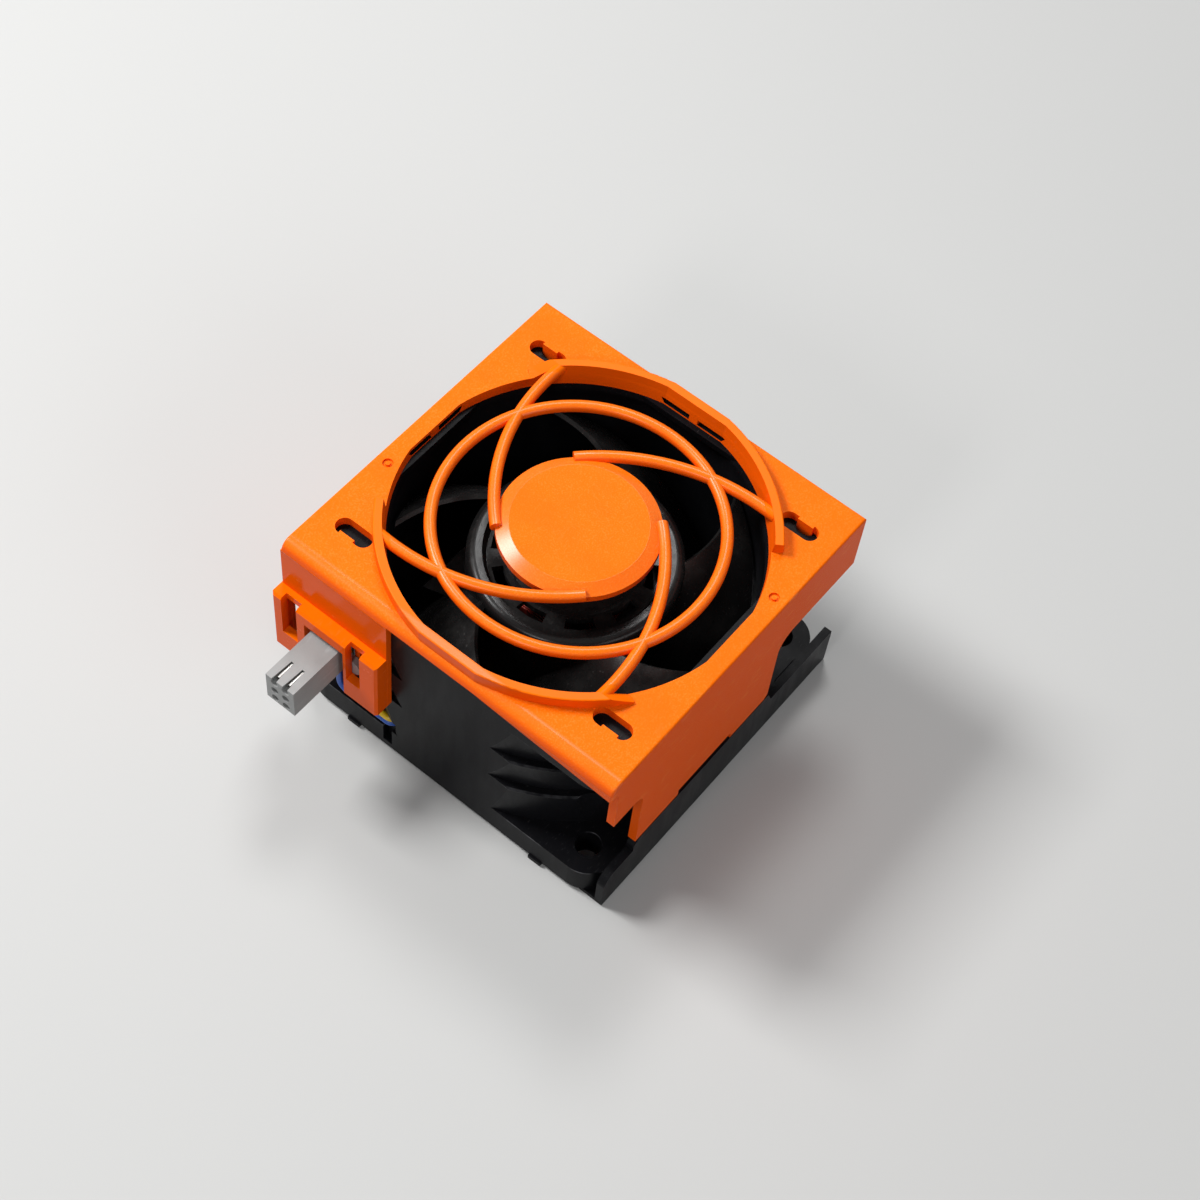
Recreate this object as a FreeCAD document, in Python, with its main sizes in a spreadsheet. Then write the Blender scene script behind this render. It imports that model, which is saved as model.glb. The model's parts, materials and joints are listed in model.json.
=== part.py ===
import FreeCAD, Part
import math
import os
import re

import Sketcher
from FreeCAD import Rotation, Vector

# Server fan module: a 60 mm axial fan in a black frame, under an orange shroud with a finger
# guard, in a black rear tray, with a grey plug held in a bracket on the shroud's front side.
# Frame of the part: +Z runs along the fan's axis towards the inlet and the guard, the origin is
# on that axis in the plane that the module stands on, and -Y is the side with the plug.

SIZES = {
    # rear tray
    "tray_floor": 0.8,
    "overshoot": 1.0,
    "tray_gap": 0.1,
    "tray_setback": 0.8,
    "tray_wall_round": 2.5,
    "tray_wall": 1.4,
    "tray_wall_top": 8.5,
    "tray_ridge_top": 11.2,
    "tray_ridge_front": 22.4,
    "tray_ridge_rear": 12.0,
    "tray_ridge_slope": 1.2,
    "tray_flat_inset": 0.9,
    "tray_hook_place": 20.0,
    "tray_hook_length": 5.0,
    "tray_hook_reach": 0.7,
    "tray_hook_depth": 1.2,
    "tray_hook_gap": 0.15,
    "tray_tab_width": 2.4,
    "tray_tab_reach": 1.1,
    # fan frame
    "frame_half": 30.0,
    "frame_height": 38.0,
    "flange": 5.5,
    "flange_corner": 5.0,
    "duct_wall": 1.5,
    "edge_break": 0.3,
    "bore_mouth": 0.4,
    "mouth_flat_inset": 2.8,
    "mouth_lip": 1.2,
    "hole_inset": 5.0,
    "hole": 2.15,
    "hole_channel": 3.6,
    "foot_wall": 3.0,
    "step_wall": 2.7,
    "ledge_wall": 4.0,
    "foot_tier": 10.0,
    "middle_tier": 8.2,
    "flange_notch_place": 11.7,
    "flange_notch_width": 1.8,
    "flange_notch_depth": 1.3,
    # motor base and outlet vanes
    "base_radius": 16.5,
    "base_floor": 1.6,
    "base_rim": 1.0,
    "base_rim_height": 1.4,
    "vane_count": 7,
    "vane_width": 1.5,
    "vane_root": 15.8,
    "boss_radius": 6.6,
    "boss_height": 3.2,
    "post_radius": 0.9,
    "post_place": 13.6,
    # bearings and their tube
    "tube_radius": 5.0,
    "bearing_radius": 4.0,
    "bearing_width": 3.0,
    "bearing_seat": 3.2,
    "bearing_race": 0.75,
    "bearing_shield": 0.25,
    "ball": 0.42,
    "ball_count": 6,
    "front_seat_depth": 3.0,
    "tube_shoulder": 0.6,
    # shaft, clip and spring
    "shaft_radius": 1.5,
    "shaft_running_gap": 0.03,
    "shaft_end_gap": 0.8,
    "shaft_groove": 0.4,
    "shaft_chamfer": 0.3,
    "groove_play": 0.05,
    "clip_thickness": 0.5,
    "clip_radius": 2.7,
    "clip_gap": 0.15,
    "spring_radius": 2.05,
    "spring_wire": 0.2,
    "spring_height": 2.0,
    "spring_turns": 3,
    "spring_play": 0.1,
    # stator
    "core_height": 12.1,
    "core_rise": 7.0,
    "pole_neck": 10.1,
    "pole_span": 56.0,
    "core_radius": 12.0,
    "core_ring": 6.2,
    "pole_count": 4,
    "pole_width": 4.0,
    "insulator": 0.9,
    "insulator_overhang": 0.35,
    "coil_wall": 2.2,
    "coil_round": 1.6,
    "coil_gap": 0.12,
    # board
    "board_inner": 7.0,
    "board_radius": 15.2,
    "board_thickness": 1.2,
    "board_rise": 1.0,
    # rotor
    "air_gap": 0.5,
    "magnet_overhang": 1.4,
    "magnet_wall": 1.9,
    "hub_sink": 4.4,
    "hub_rise": 3.0,
    "yoke_inset": 0.2,
    "yoke_wall": 0.8,
    "rotor_fit": 0.05,
    "hub_radius": 16.8,
    "hub_cap_drop": 0.6,
    "hub_cap_slope": 0.3,
    "hub_channel_inner": 10.6,
    "hub_channel_outer": 13.6,
    "hub_channel_depth": 1.4,
    "hub_roof": 1.2,
    "hub_round": 1.5,
    "vent_count": 10,
    "vent_radius": 12.1,
    "vent_width": 1.8,
    "vent_span": 21.0,
    "vent_phase": -84.0,
    "rotor_boss_radius": 3.4,
    "rotor_boss_height": 3.3,
    # blades
    "blade_count": 5,
    "tip_gap": 0.6,
    "blade_sink": 0.9,
    "blade_rise": 4.3,
    "blade_thickness": 1.2,
    "blade_wrap": 60.0,
    "blade_lead": 133.0,
    "blade_lead_radius": 26.0,
    "blade_sweep": 2.55,
    "blade_camber": 0.62,
    "blade_edge_share": 0.62,
    "blade_root_depth": 1.4,
    "blade_embed": 0.6,
    "blade_overrun": 0.8,
    # shroud plate, opening and rims
    "plate": 1.7,
    "lip": 1.1,
    "rear_overhang": 0.6,
    "plate_round": 2.0,
    "moulded_edge": 0.4,
    "rim_edge": 0.25,
    "lip_drop": 3.6,
    "lip_gap": 0.1,
    "lip_start": 6.0,
    "opening_draft": 0.4,
    "opening_flat_inset": 0.55,
    "opening_taper": 8.0,
    "rim_width": 1.4,
    "rim_flat_width": 1.5,
    "rim_ramp_start": 20.8,
    "rim_ramp_end": 17.4,
    "gate_inset": 0.7,
    "rim_height": 2.1,
    "rim_blunt": 33.5,
    "rim_point": 35.9,
    "rim_gap_start": 20.0,
    "window_height": 1.2,
    "window_length": 6.0,
    "window_tab": 1.6,
    "window_depth": 1.3,
    "window_overlap": 0.5,
    "gate_y": 9.8,
    "gate_dish": 0.85,
    "gate_nub": 0.4,
    "gate_depth": 0.35,
    # slots and snap hooks
    "slot_length": 6.6,
    "slot_width": 3.0,
    "arm_width": 2.8,
    "arm_thickness": 1.4,
    "arm_inset": 0.5,
    "barb_width": 2.0,
    "barb_reach": 0.9,
    "barb_height": 1.7,
    "barb_gap": 0.1,
    "slot_offset_x": 0.4,
    "slot_offset_y": 2.4,
    # skirts
    "skirt": 1.4,
    "skirt_leg": 11.6,
    "skirt_leg_inset": 1.8,
    "skirt_shoulder": 1.9,
    "skirt_rise": 5.3,
    "skirt_arm": 10.6,
    "skirt_deep_front": 22.3,
    "skirt_web": 2.2,
    "skirt_deep_rear": 11.4,
    "skirt_notch_front": 11.7,
    "skirt_notch_rear": 1.6,
    "skirt_notch_rise": 1.4,
    "skirt_curve": 3.4,
    "skirt_chamfer": 0.8,
    # bracket for the plug
    "bracket_right": 10.7,
    "bracket_step": 0.2,
    "bracket_reach": 2.4,
    "bracket_drop": 9.0,
    "bracket_height": 13.9,
    "bracket_mouth_drop": 2.5,
    "bracket_window_rise": 4.6,
    "bracket_wall": 1.4,
    "bracket_mouth": 7.8,
    "bracket_window_left": 3.1,
    "bracket_window_right": 2.8,
    "bracket_window_margin": 1.9,
    "bracket_window_inset": 3.3,
    "rib_width": 1.0,
    "rib_gap": 0.15,
    "rib_foot": 1.2,
    # guard
    "guard_rod": 0.95,
    "guard_ring": 22.2,
    "guard_rise": 1.1,
    "disc_radius": 12.6,
    "disc_flat": 10.6,
    "disc_rise": 0.9,
    "disc_wall": 1.2,
    "disc_bevel": 1.0,
    "spoke_count": 4,
    "spoke_arc": 36.0,
    "spoke_root": 12.4,
    "spoke_root_angle": 133.0,
    "spoke_embed": 0.5,
    "spoke_end_angle": 44.3,
    # plug
    "plug_width": 5.6,
    "plug_side": 8.75,
    "plug_rise": 4.1,
    "plug_reach": 9.6,
    "plug_clearance": 1.0,
    "plug_wing_rise": 0.55,
    "plug_height": 6.3,
    "plug_wing_half": 6.0,
    "plug_wing_height": 3.2,
    "plug_wing_gap": 0.1,
    "plug_pitch": 2.2,
    "plug_cavity": 0.72,
    "plug_slot_width": 1.0,
    "plug_slot_tip": 0.5,
    "plug_slot_length": 4.1,
    "plug_slot_depth": 1.5,
    "contact_radius": 0.62,
    "contact_bore": 0.36,
    "contact_length": 6.5,
    "contact_inset": 1.0,
    "contact_bore_length": 3.9,
    # leads
    "lead": 0.55,
    "lead_pitch": 1.3,
    "lead_angle": -112.5,
    "lead_rise": 0.1,
    "lead_slot_gap": 0.3,
    "lead_inset": 2.0,
    "lead_channel_start": 10.0,
    "lead_channel_end": 22.0,
    "lead_pad": 12.6,
    "lead_pad_step": 2.0,
    "lead_wall_arc": 1.6,
    "lead_rise_arc": 2.0,
    "lead_outer_arc": 1.3,
    "lead_inner_arc": 2.0,
}

# Components on the board: length outwards, width, height, distance from the axis, angle
BOARD_PIECES = {
    "driver_chip": (3.9, 5.0, 1.5, 11.2, 10.0),
    "switch_a": (3.0, 3.2, 1.1, 11.2, 50.0),
    "switch_b": (3.0, 3.2, 1.1, 11.2, 82.0),
    "capacitor_a": (2.0, 3.2, 1.6, 11.2, 114.0),
    "capacitor_b": (2.0, 3.2, 1.6, 11.2, 142.0),
    "hall_sensor": (1.6, 2.9, 1.1, 13.2, 172.0),
    "resistor_a": (0.8, 1.6, 0.5, 10.4, 196.0),
    "resistor_b": (0.8, 1.6, 0.5, 12.4, 196.0),
    "diode": (1.6, 2.6, 1.0, 11.4, 214.0),
    "resistor_c": (0.8, 1.6, 0.5, 10.4, 284.0),
    "resistor_d": (0.8, 1.6, 0.5, 12.4, 284.0),
    "fuse": (1.6, 3.2, 0.9, 11.4, 312.0),
    "regulator": (2.4, 2.9, 1.1, 11.4, 338.0),
}
for piece, numbers in BOARD_PIECES.items():
    for what, number in zip(("length", "width", "height", "reach", "angle"), numbers):
        SIZES["%s_%s" % (piece, what)] = number

# Sizes that follow from others
FOLLOWING = {
    "tray_half": "frame_half + tray_gap + tray_wall",
    "tray_front": "frame_half - tray_setback",
    "tray_rear": "frame_half",
    "tray_opening": "bore",
    "tray_flat": "bore - tray_flat_inset",
    "bore": "frame_half - duct_wall",
    "hole_place": "frame_half - hole_inset",
    "mouth": "bore + bore_mouth",
    "mouth_flat": "frame_half - mouth_flat_inset",
    "foot_radius": "bore + foot_wall",
    "step_radius": "bore + step_wall",
    "ledge_radius": "bore + ledge_wall",
    "tube_height": (
        "hub_top - hub_channel_depth - hub_roof - "
        "rotor_boss_height - spring_height - spring_play - tray_floor - base_floor"),
    "core_bottom": "tray_floor + base_floor + base_rim_height + board_rise + board_thickness + core_rise",
    "magnet_height": "core_height + 2 * magnet_overhang",
    "magnet_bottom": "core_bottom - magnet_overhang",
    "yoke_bottom": "hub_bottom + yoke_inset",
    "hub_top": "tray_floor + frame_height - hub_sink",
    "hub_bottom": "tray_floor + flange + hub_rise",
    "blade_tip": "bore - tip_gap",
    "blade_top": "hub_top - blade_sink",
    "blade_bottom": "tray_floor + flange + blade_rise",
    "plate_half": "frame_half + lip_gap + skirt",
    "plate_front": "frame_half + lip_gap + lip",
    "plate_rear": "frame_half + rear_overhang",
    "opening": "bore + bore_mouth + opening_draft",
    "opening_flat": "opening - opening_flat_inset",
    "rim_radius": "opening + rim_width",
    "rim_flat": "opening_flat + rim_flat_width",
    "gate_x": "frame_half - gate_inset",
    "slot_x": "hole_place - slot_offset_x",
    "slot_y": "hole_place - slot_offset_y",
    "skirt_leg_bottom": "tray_floor + frame_height - skirt_leg",
    "skirt_leg_front": "plate_front - skirt_leg_inset",
    "skirt_leg_shoulder": "tray_floor + frame_height - skirt_shoulder",
    "skirt_deep_bottom": "tray_floor + flange + skirt_rise",
    "skirt_arm_bottom": "tray_floor + frame_height - skirt_arm",
    "bracket_left": "plate_half + bracket_step",
    "bracket_front": "plate_front + bracket_reach",
    "bracket_ledge": "tray_floor + frame_height - bracket_drop",
    "bracket_bottom": "bracket_ledge - bracket_height",
    "bracket_mouth_top": "bracket_ledge - bracket_mouth_drop",
    "bracket_window_bottom": "bracket_bottom + bracket_window_rise",
    "guard_level": "tray_floor + frame_height + plate + guard_rise",
    "disc_bottom": "disc_edge - disc_wall",
    "disc_edge": "tray_floor + frame_height + plate + disc_rise",
    "disc_top": "disc_edge + disc_bevel",
    "spoke_end": "opening + spoke_embed",
    "plug_x": "plug_side - frame_half",
    "plug_bottom": "bracket_bottom + plug_rise",
    "plug_front": "bracket_front + plug_reach",
    "plug_back": "frame_half + plug_clearance",
    "plug_wing_bottom": "plug_bottom + plug_wing_rise",
    "lead_row": "frame_half - lead_inset",
}

# Heights and radii used in several sub-parts
FRAME_TOP = "(tray_floor + frame_height)"
LOW_FLANGE = "(tray_floor + flange)"
HIGH_FLANGE = "(tray_floor + frame_height - flange)"
PLATE_TOP = "(tray_floor + frame_height + plate)"
FOOT_LEDGE = "(tray_floor + flange + foot_tier)"
MIDDLE_LEDGE = "(tray_floor + flange + foot_tier + middle_tier)"
BASE_TOP = "(tray_floor + base_floor)"
BOARD_BOTTOM = "(tray_floor + base_floor + base_rim_height + board_rise)"
BOARD_TOP = "(tray_floor + base_floor + base_rim_height + board_rise + board_thickness)"
REAR_BEARING = "(tray_floor + base_floor + bearing_seat)"
TUBE_TOP = "(tray_floor + base_floor + tube_height)"
FRONT_BEARING = "(tray_floor + base_floor + tube_height - front_seat_depth)"
CORE_TOP = "(core_bottom + core_height)"
CORE_BORE = "(tube_radius + rotor_fit)"
MAGNET_INNER = "(core_radius + air_gap)"
MAGNET_OUTER = "(core_radius + air_gap + magnet_wall)"
YOKE_INNER = "(core_radius + air_gap + magnet_wall + rotor_fit)"
YOKE_OUTER = "(core_radius + air_gap + magnet_wall + rotor_fit + yoke_wall)"
HUB_INNER = "(core_radius + air_gap + magnet_wall + yoke_wall + 2 * rotor_fit)"
ROOF_UNDER = "(hub_top - hub_channel_depth - hub_roof)"
YOKE_TOP = "(hub_top - hub_channel_depth - hub_roof - rotor_fit)"
BOSS_UNDER = "(tray_floor + base_floor + tube_height + spring_height + spring_play)"
PLUG_MIDDLE = "(plug_bottom + plug_height / 2)"

ORIGIN_PLANES = {"top": "XY_Plane", "front": "XZ_Plane", "side": "YZ_Plane"}
UP = Vector(0, 0, 1)

doc = FreeCAD.newDocument("ServerFanModule")
sheet = doc.addObject("Spreadsheet::Sheet", "Sizes")
for row, (alias, number) in enumerate(SIZES.items(), start=1):
    sheet.set("A%d" % row, alias)
    sheet.set("B%d" % row, str(number))
    sheet.setAlias("B%d" % row, alias)
doc.recompute()

parts = []


def size(alias):
    """the value of a size, whether the sheet holds it or it follows from others"""
    if alias in FOLLOWING:
        return total(FOLLOWING[alias])
    return float(sheet.get(alias))


def total(text):
    """the value of a sum of size names, such as FRAME_TOP"""
    result = 0.0
    for sign, factor, name in re.findall(r"([+-]?)\s*(\d*)\s*\*?\s*([a-z][a-z0-9_]+)", text):
        step = size(name) * (float(factor) if factor else 1.0)
        result += -step if sign == "-" else step
    return result


def spell_out(found):
    """one name of an expression: the sum that it follows from, or its place in the sheet"""
    name = found.group(1)
    if name in FOLLOWING:
        return "(%s)" % cell(FOLLOWING[name])
    return "Sizes." + name


def cell(text):
    """an expression in which every size name points at the sheet"""
    return re.sub(r"\b([a-z][a-z0-9_]+)\b(?!\()", spell_out, text)


def keep(item, label):
    """name a finished sub-part and put it on the list that is written out"""
    item.Label = label
    parts.append(item)
    return item


# Sketches and features of a body


def new_body(name):
    return doc.addObject("PartDesign::Body", name)


def sketch(body, plane, height="0"):
    """a sketch on one of the body's own origin planes, moved along the plane's normal"""
    made = body.newObject("Sketcher::SketchObject", body.Name + "_sketch")
    role = ORIGIN_PLANES[plane]
    made.AttachmentSupport = [(next(f for f in body.Origin.OriginFeatures if f.Role == role), "")]
    made.MapMode = "FlatFace"
    made.setExpression("AttachmentOffset.Base.z", cell(height))
    return made


def bind(profile, kind, geometry, point, text):
    """hold one point of the sketch at a bound distance from the sketch's origin"""
    number = profile.addConstraint(Sketcher.Constraint(kind, -1, 1, geometry, point, 1.0))
    profile.setExpression("Constraints[%d]" % number, cell(text))


def outline(profile, points):
    """a closed run of straight lines through bound points"""
    count = len(points)
    first = profile.GeometryCount
    ring = [Vector(math.cos(2 * math.pi * i / count), math.sin(2 * math.pi * i / count), 0)
            for i in range(count)]
    for i in range(count):
        profile.addGeometry(Part.LineSegment(ring[i], ring[(i + 1) % count]), False)
    for i in range(count):
        profile.addConstraint(Sketcher.Constraint("Coincident", first + i, 2, first + (i + 1) % count, 1))
    for i, (across, up) in enumerate(points):
        bind(profile, "DistanceX", first + i, 1, across)
        bind(profile, "DistanceY", first + i, 1, up)
    return profile


def oblong(profile, left, right, low, high):
    """a rectangle with bound sides"""
    return outline(profile, [(left, low), (right, low), (right, high), (left, high)])


def circle(profile, radius, across="0", up="0"):
    """a circle with a bound radius and centre"""
    made = profile.addGeometry(Part.Circle(Vector(0.5, 0.5, 0), UP, 1.0), False)
    bind(profile, "DistanceX", made, 3, across)
    bind(profile, "DistanceY", made, 3, up)
    number = profile.addConstraint(Sketcher.Constraint("Radius", made, 1.0))
    profile.setExpression("Constraints[%d]" % number, cell(radius))
    return profile


def flatted_circle(profile, radius, flat):
    """a circle about the axis, cut off by four straight sides at a bound distance"""
    r = size(radius)
    half = math.acos(size(flat) / r)
    round_edge = Part.Circle(Vector(0, 0, 0), UP, r)
    first = profile.GeometryCount
    for quarter in range(4):
        middle = quarter * math.pi / 2
        low = Vector(r * math.cos(middle - half), r * math.sin(middle - half), 0)
        high = Vector(r * math.cos(middle + half), r * math.sin(middle + half), 0)
        profile.addGeometry(Part.LineSegment(low, high), False)
        arc = Part.ArcOfCircle(round_edge, middle + half, middle + math.pi / 2 - half)
        profile.addGeometry(arc, False)
    for quarter in range(4):
        line = first + 2 * quarter
        arc = line + 1
        following = first + (2 * quarter + 2) % 8
        across = quarter % 2 == 0
        sign = "" if quarter < 2 else "-"
        profile.addConstraint(Sketcher.Constraint("Coincident", arc, 3, -1, 1))
        profile.addConstraint(Sketcher.Constraint("Coincident", line, 2, arc, 1))
        profile.addConstraint(Sketcher.Constraint("Coincident", arc, 2, following, 1))
        profile.addConstraint(Sketcher.Constraint("Vertical" if across else "Horizontal", line))
        bind(profile, "DistanceX" if across else "DistanceY", line, 1, sign + flat)
        number = profile.addConstraint(Sketcher.Constraint("Radius", arc, r))
        profile.setExpression("Constraints[%d]" % number, cell(radius))
    return profile


def finish_step(body, made, grows):
    """recompute, and stop if the step didn't change the solid as it should, or broke it up"""
    before = body.Shape.Volume if not body.Shape.isNull() else 0.0
    body.Tip = made
    doc.recompute()
    change = body.Shape.Volume - before
    if grows and change <= 1e-6 or not grows and change >= -1e-6:
        raise ValueError("%s changed the volume by %.6f" % (made.Name, change))
    if len(body.Shape.Solids) != 1 or not body.Shape.isValid():
        raise ValueError("%s leaves the body in %d solids" % (made.Name, len(body.Shape.Solids)))
    return made


def pad(body, profile, length, backwards=False):
    made = body.newObject("PartDesign::Pad", body.Name + "_pad")
    made.Profile = profile
    made.setExpression("Length", cell(length))
    made.Reversed = backwards
    return finish_step(body, made, True)


def pocket(body, profile, depth, backwards=False):
    made = body.newObject("PartDesign::Pocket", body.Name + "_pocket")
    made.Profile = profile
    made.setExpression("Length", cell(depth))
    made.Reversed = backwards
    return finish_step(body, made, False)


def revolve(body, profile):
    """turn a profile of (radius, height) points once round the axis"""
    made = body.newObject("PartDesign::Revolution", body.Name + "_turned")
    made.Profile = profile
    made.ReferenceAxis = (profile, ["V_Axis"])
    made.Angle = 360
    return finish_step(body, made, True)


def around(body, feature, count, grows):
    """repeat a feature round the axis"""
    made = body.newObject("PartDesign::PolarPattern", body.Name + "_pattern")
    made.Originals = [feature]
    made.Axis = (feature.Profile[0], ["N_Axis"])
    made.Angle = 360
    made.setExpression("Occurrences", cell(count))
    return finish_step(body, made, grows)


def edges_where(shape, test):
    """names of the edges whose middle point passes a test"""
    names = []
    for i, edge in enumerate(shape.Edges, start=1):
        middle = edge.valueAt((edge.FirstParameter + edge.LastParameter) / 2)
        if test(edge, middle):
            names.append("Edge%d" % i)
    return names


def near(a, b, reach=0.01):
    return abs(a - b) < reach


def round_edges(body, radius, test, grows=False):
    """round the edges that pass a test; rounding an inner corner adds to the solid"""
    base = body.Tip
    names = edges_where(base.Shape, test)
    made = body.newObject("PartDesign::Fillet", body.Name + "_round")
    made.Base = (base, names)
    made.setExpression("Radius", cell(radius))
    return finish_step(body, made, grows)


# Primitives and booleans outside a body


def place(item, x="0", y="0", z="0", turn=0.0):
    """a bound place, and a turn about the fan's axis in degrees"""
    item.Placement = FreeCAD.Placement(Vector(0, 0, 0), Rotation(UP, turn))
    for name, text in zip("xyz", (x, y, z)):
        item.setExpression("Placement.Base." + name, cell(text))
    return item


def cylinder(name, radius, height, x="0", y="0", z="0"):
    made = doc.addObject("Part::Cylinder", name)
    made.setExpression("Radius", cell(radius))
    made.setExpression("Height", cell(height))
    return place(made, x, y, z)


def box(name, length, width, height, x="0", y="0", z="0"):
    """a box with bound sides, whose lowest corner is at the bound place"""
    made = doc.addObject("Part::Box", name)
    made.setExpression("Length", cell(length))
    made.setExpression("Width", cell(width))
    made.setExpression("Height", cell(height))
    return place(made, x, y, z)


def cut(name, base, tool):
    made = doc.addObject("Part::Cut", name)
    made.Base = base
    made.Tool = tool
    return made


def fuse(name, pieces):
    made = doc.addObject("Part::MultiFuse", name)
    made.Shapes = pieces
    made.Refine = True
    return made


def group(name, pieces):
    """pieces that stay separate solids in one node"""
    made = doc.addObject("Part::Compound", name)
    made.Links = pieces
    return made


def washer(name, outer, inner, height, z):
    """a flat ring about the axis"""
    rim = cylinder(name + "_rim", outer, height, z=z)
    eye = cylinder(name + "_eye", inner, height, z=z)
    return cut(name, rim, eye)


def free_shape(name, shape):
    """a form that only Part's own functions make"""
    made = doc.addObject("Part::Feature", name)
    made.Shape = shape
    return made


def turned(name, base, angle):
    """a copy of a finished form, turned about the fan's axis"""
    made = doc.addObject("Part::Feature", name)
    made.Shape = base.Shape.copy()
    made.Placement = FreeCAD.Placement(Vector(0, 0, 0), Rotation(UP, angle)).multiply(base.Placement)
    return made


def polar(radius, angle):
    """a point of the plan, from a distance and an angle in degrees"""
    return Vector(radius * math.cos(math.radians(angle)), radius * math.sin(math.radians(angle)), 0)


# Rear tray: a floor under the frame, a wall along each side, and hooks over the lower flange


def rear_tray():
    body = new_body("Tray")
    floor = sketch(body, "top")
    front = "-tray_front"
    reach = "-(tray_front + tray_tab_reach)"
    outer = "tray_hook_place"
    inner = "(tray_hook_place - tray_tab_width)"
    outline(floor, [
        ("-tray_half", front), ("-" + outer, front), ("-" + outer, reach), ("-" + inner, reach),
        ("-" + inner, front), (inner, front), (inner, reach), (outer, reach), (outer, front),
        ("tray_half", front), ("tray_half", "tray_rear"), ("-tray_half", "tray_rear")])
    pad(body, floor, "tray_floor")
    opening = sketch(body, "top", "tray_floor")
    flatted_circle(opening, "tray_opening", "tray_flat")
    pocket(body, opening, "tray_floor")
    walls = sketch(body, "top")
    for side in ("-", ""):
        oblong(walls, side + "tray_half", side + "(tray_half - tray_wall)", "-tray_front", "tray_rear")
    pad(body, walls, "tray_wall_top")
    front_end = -size("tray_front")
    top = size("tray_wall_top")
    round_edges(body, "tray_wall_round",
                lambda edge, middle: near(middle.y, front_end) and near(middle.z, top))
    for inner in ("-tray_half", "tray_half - tray_wall"):
        ridge = sketch(body, "side", inner)
        outline(ridge, [
            ("-tray_ridge_front", "tray_floor"), ("-tray_ridge_front", "tray_ridge_top - tray_ridge_slope"),
            ("-tray_ridge_front + tray_ridge_slope", "tray_ridge_top"), ("tray_ridge_rear", "tray_ridge_top"),
            ("tray_ridge_rear + tray_ridge_slope", "tray_wall_top"),
            ("tray_ridge_rear + tray_ridge_slope", "tray_floor")])
        pad(body, ridge, "tray_wall")
    foot = LOW_FLANGE + " + tray_hook_gap"
    for end in ("-", ""):
        hooks = sketch(body, "front", "%s(tray_hook_place - tray_hook_length / 2)" % end)
        for side in ("-", ""):
            inner = side + "(tray_half - tray_wall)"
            outline(hooks, [
                (inner, foot), (side + "(tray_half - tray_wall - tray_hook_reach)", foot),
                (inner, foot + " + tray_hook_depth")])
        pad(body, hooks, "tray_hook_length", backwards=end == "-")
    holes = sketch(body, "top", "tray_floor")
    for x in ("-", ""):
        for y in ("-", ""):
            circle(holes, "hole", x + "hole_place", y + "hole_place")
    pocket(body, holes, "tray_floor")
    return keep(body, "rear_tray")


# Fan frame: two flanges joined by a stepped barrel


def barrel(body):
    profile = sketch(body, "front")
    outline(profile, [
        ("bore", "tray_floor"), ("foot_radius", "tray_floor"), ("foot_radius", LOW_FLANGE),
        ("ledge_radius", FOOT_LEDGE + " - edge_break"), ("ledge_radius - edge_break", FOOT_LEDGE),
        ("step_radius", FOOT_LEDGE),
        ("ledge_radius", MIDDLE_LEDGE + " - edge_break"), ("ledge_radius - edge_break", MIDDLE_LEDGE),
        ("step_radius", MIDDLE_LEDGE),
        ("ledge_radius", HIGH_FLANGE), ("ledge_radius", FRAME_TOP),
        ("mouth", FRAME_TOP), ("bore", FRAME_TOP + " - 3 * bore_mouth")])
    revolve(body, profile)
    sides = sketch(body, "top", FRAME_TOP)
    for limit in ("2 * frame_half", "frame_half"):
        oblong(sides, "-" + limit, limit, "-" + limit, limit)
    pocket(body, sides, "frame_height")


def flange(body, height, bore):
    profile = sketch(body, "top", height)
    oblong(profile, "-frame_half", "frame_half", "-frame_half", "frame_half")
    circle(profile, bore)
    pad(body, profile, "flange")


def corner_post(edge, middle):
    """true for the four upright corners of a flange"""
    limit = size("frame_half")
    return near(abs(middle.x), limit) and near(abs(middle.y), limit)


def lead_passage(body):
    """the opening in the barrel above one vane, and the channel in which the leads turn"""
    slot = sketch(body, "top", LOW_FLANGE)
    half = "(lead_pitch / 2 + lead + lead_slot_gap)"
    inside = "(bore - overshoot)"
    outside = "(ledge_radius + overshoot)"
    corners = []
    for radius, side in ((inside, "-"), (outside, "-"), (outside, ""), (inside, "")):
        across = "%s * cos(lead_angle) - (%s%s) * sin(lead_angle)" % (radius, side, half)
        up = "%s * sin(lead_angle) + (%s%s) * cos(lead_angle)" % (radius, side, half)
        corners.append((across, up))
    outline(slot, corners)
    pocket(body, slot, "2 * lead_pitch + lead_slot_gap", backwards=True)
    channel = sketch(body, "top", LOW_FLANGE)
    oblong(channel, "-lead_channel_end", "-lead_channel_start", "-frame_half - overshoot",
           "-(lead_row - lead - lead_slot_gap)")
    pocket(body, channel, "2 * lead_pitch + lead_slot_gap", backwards=True)


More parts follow.
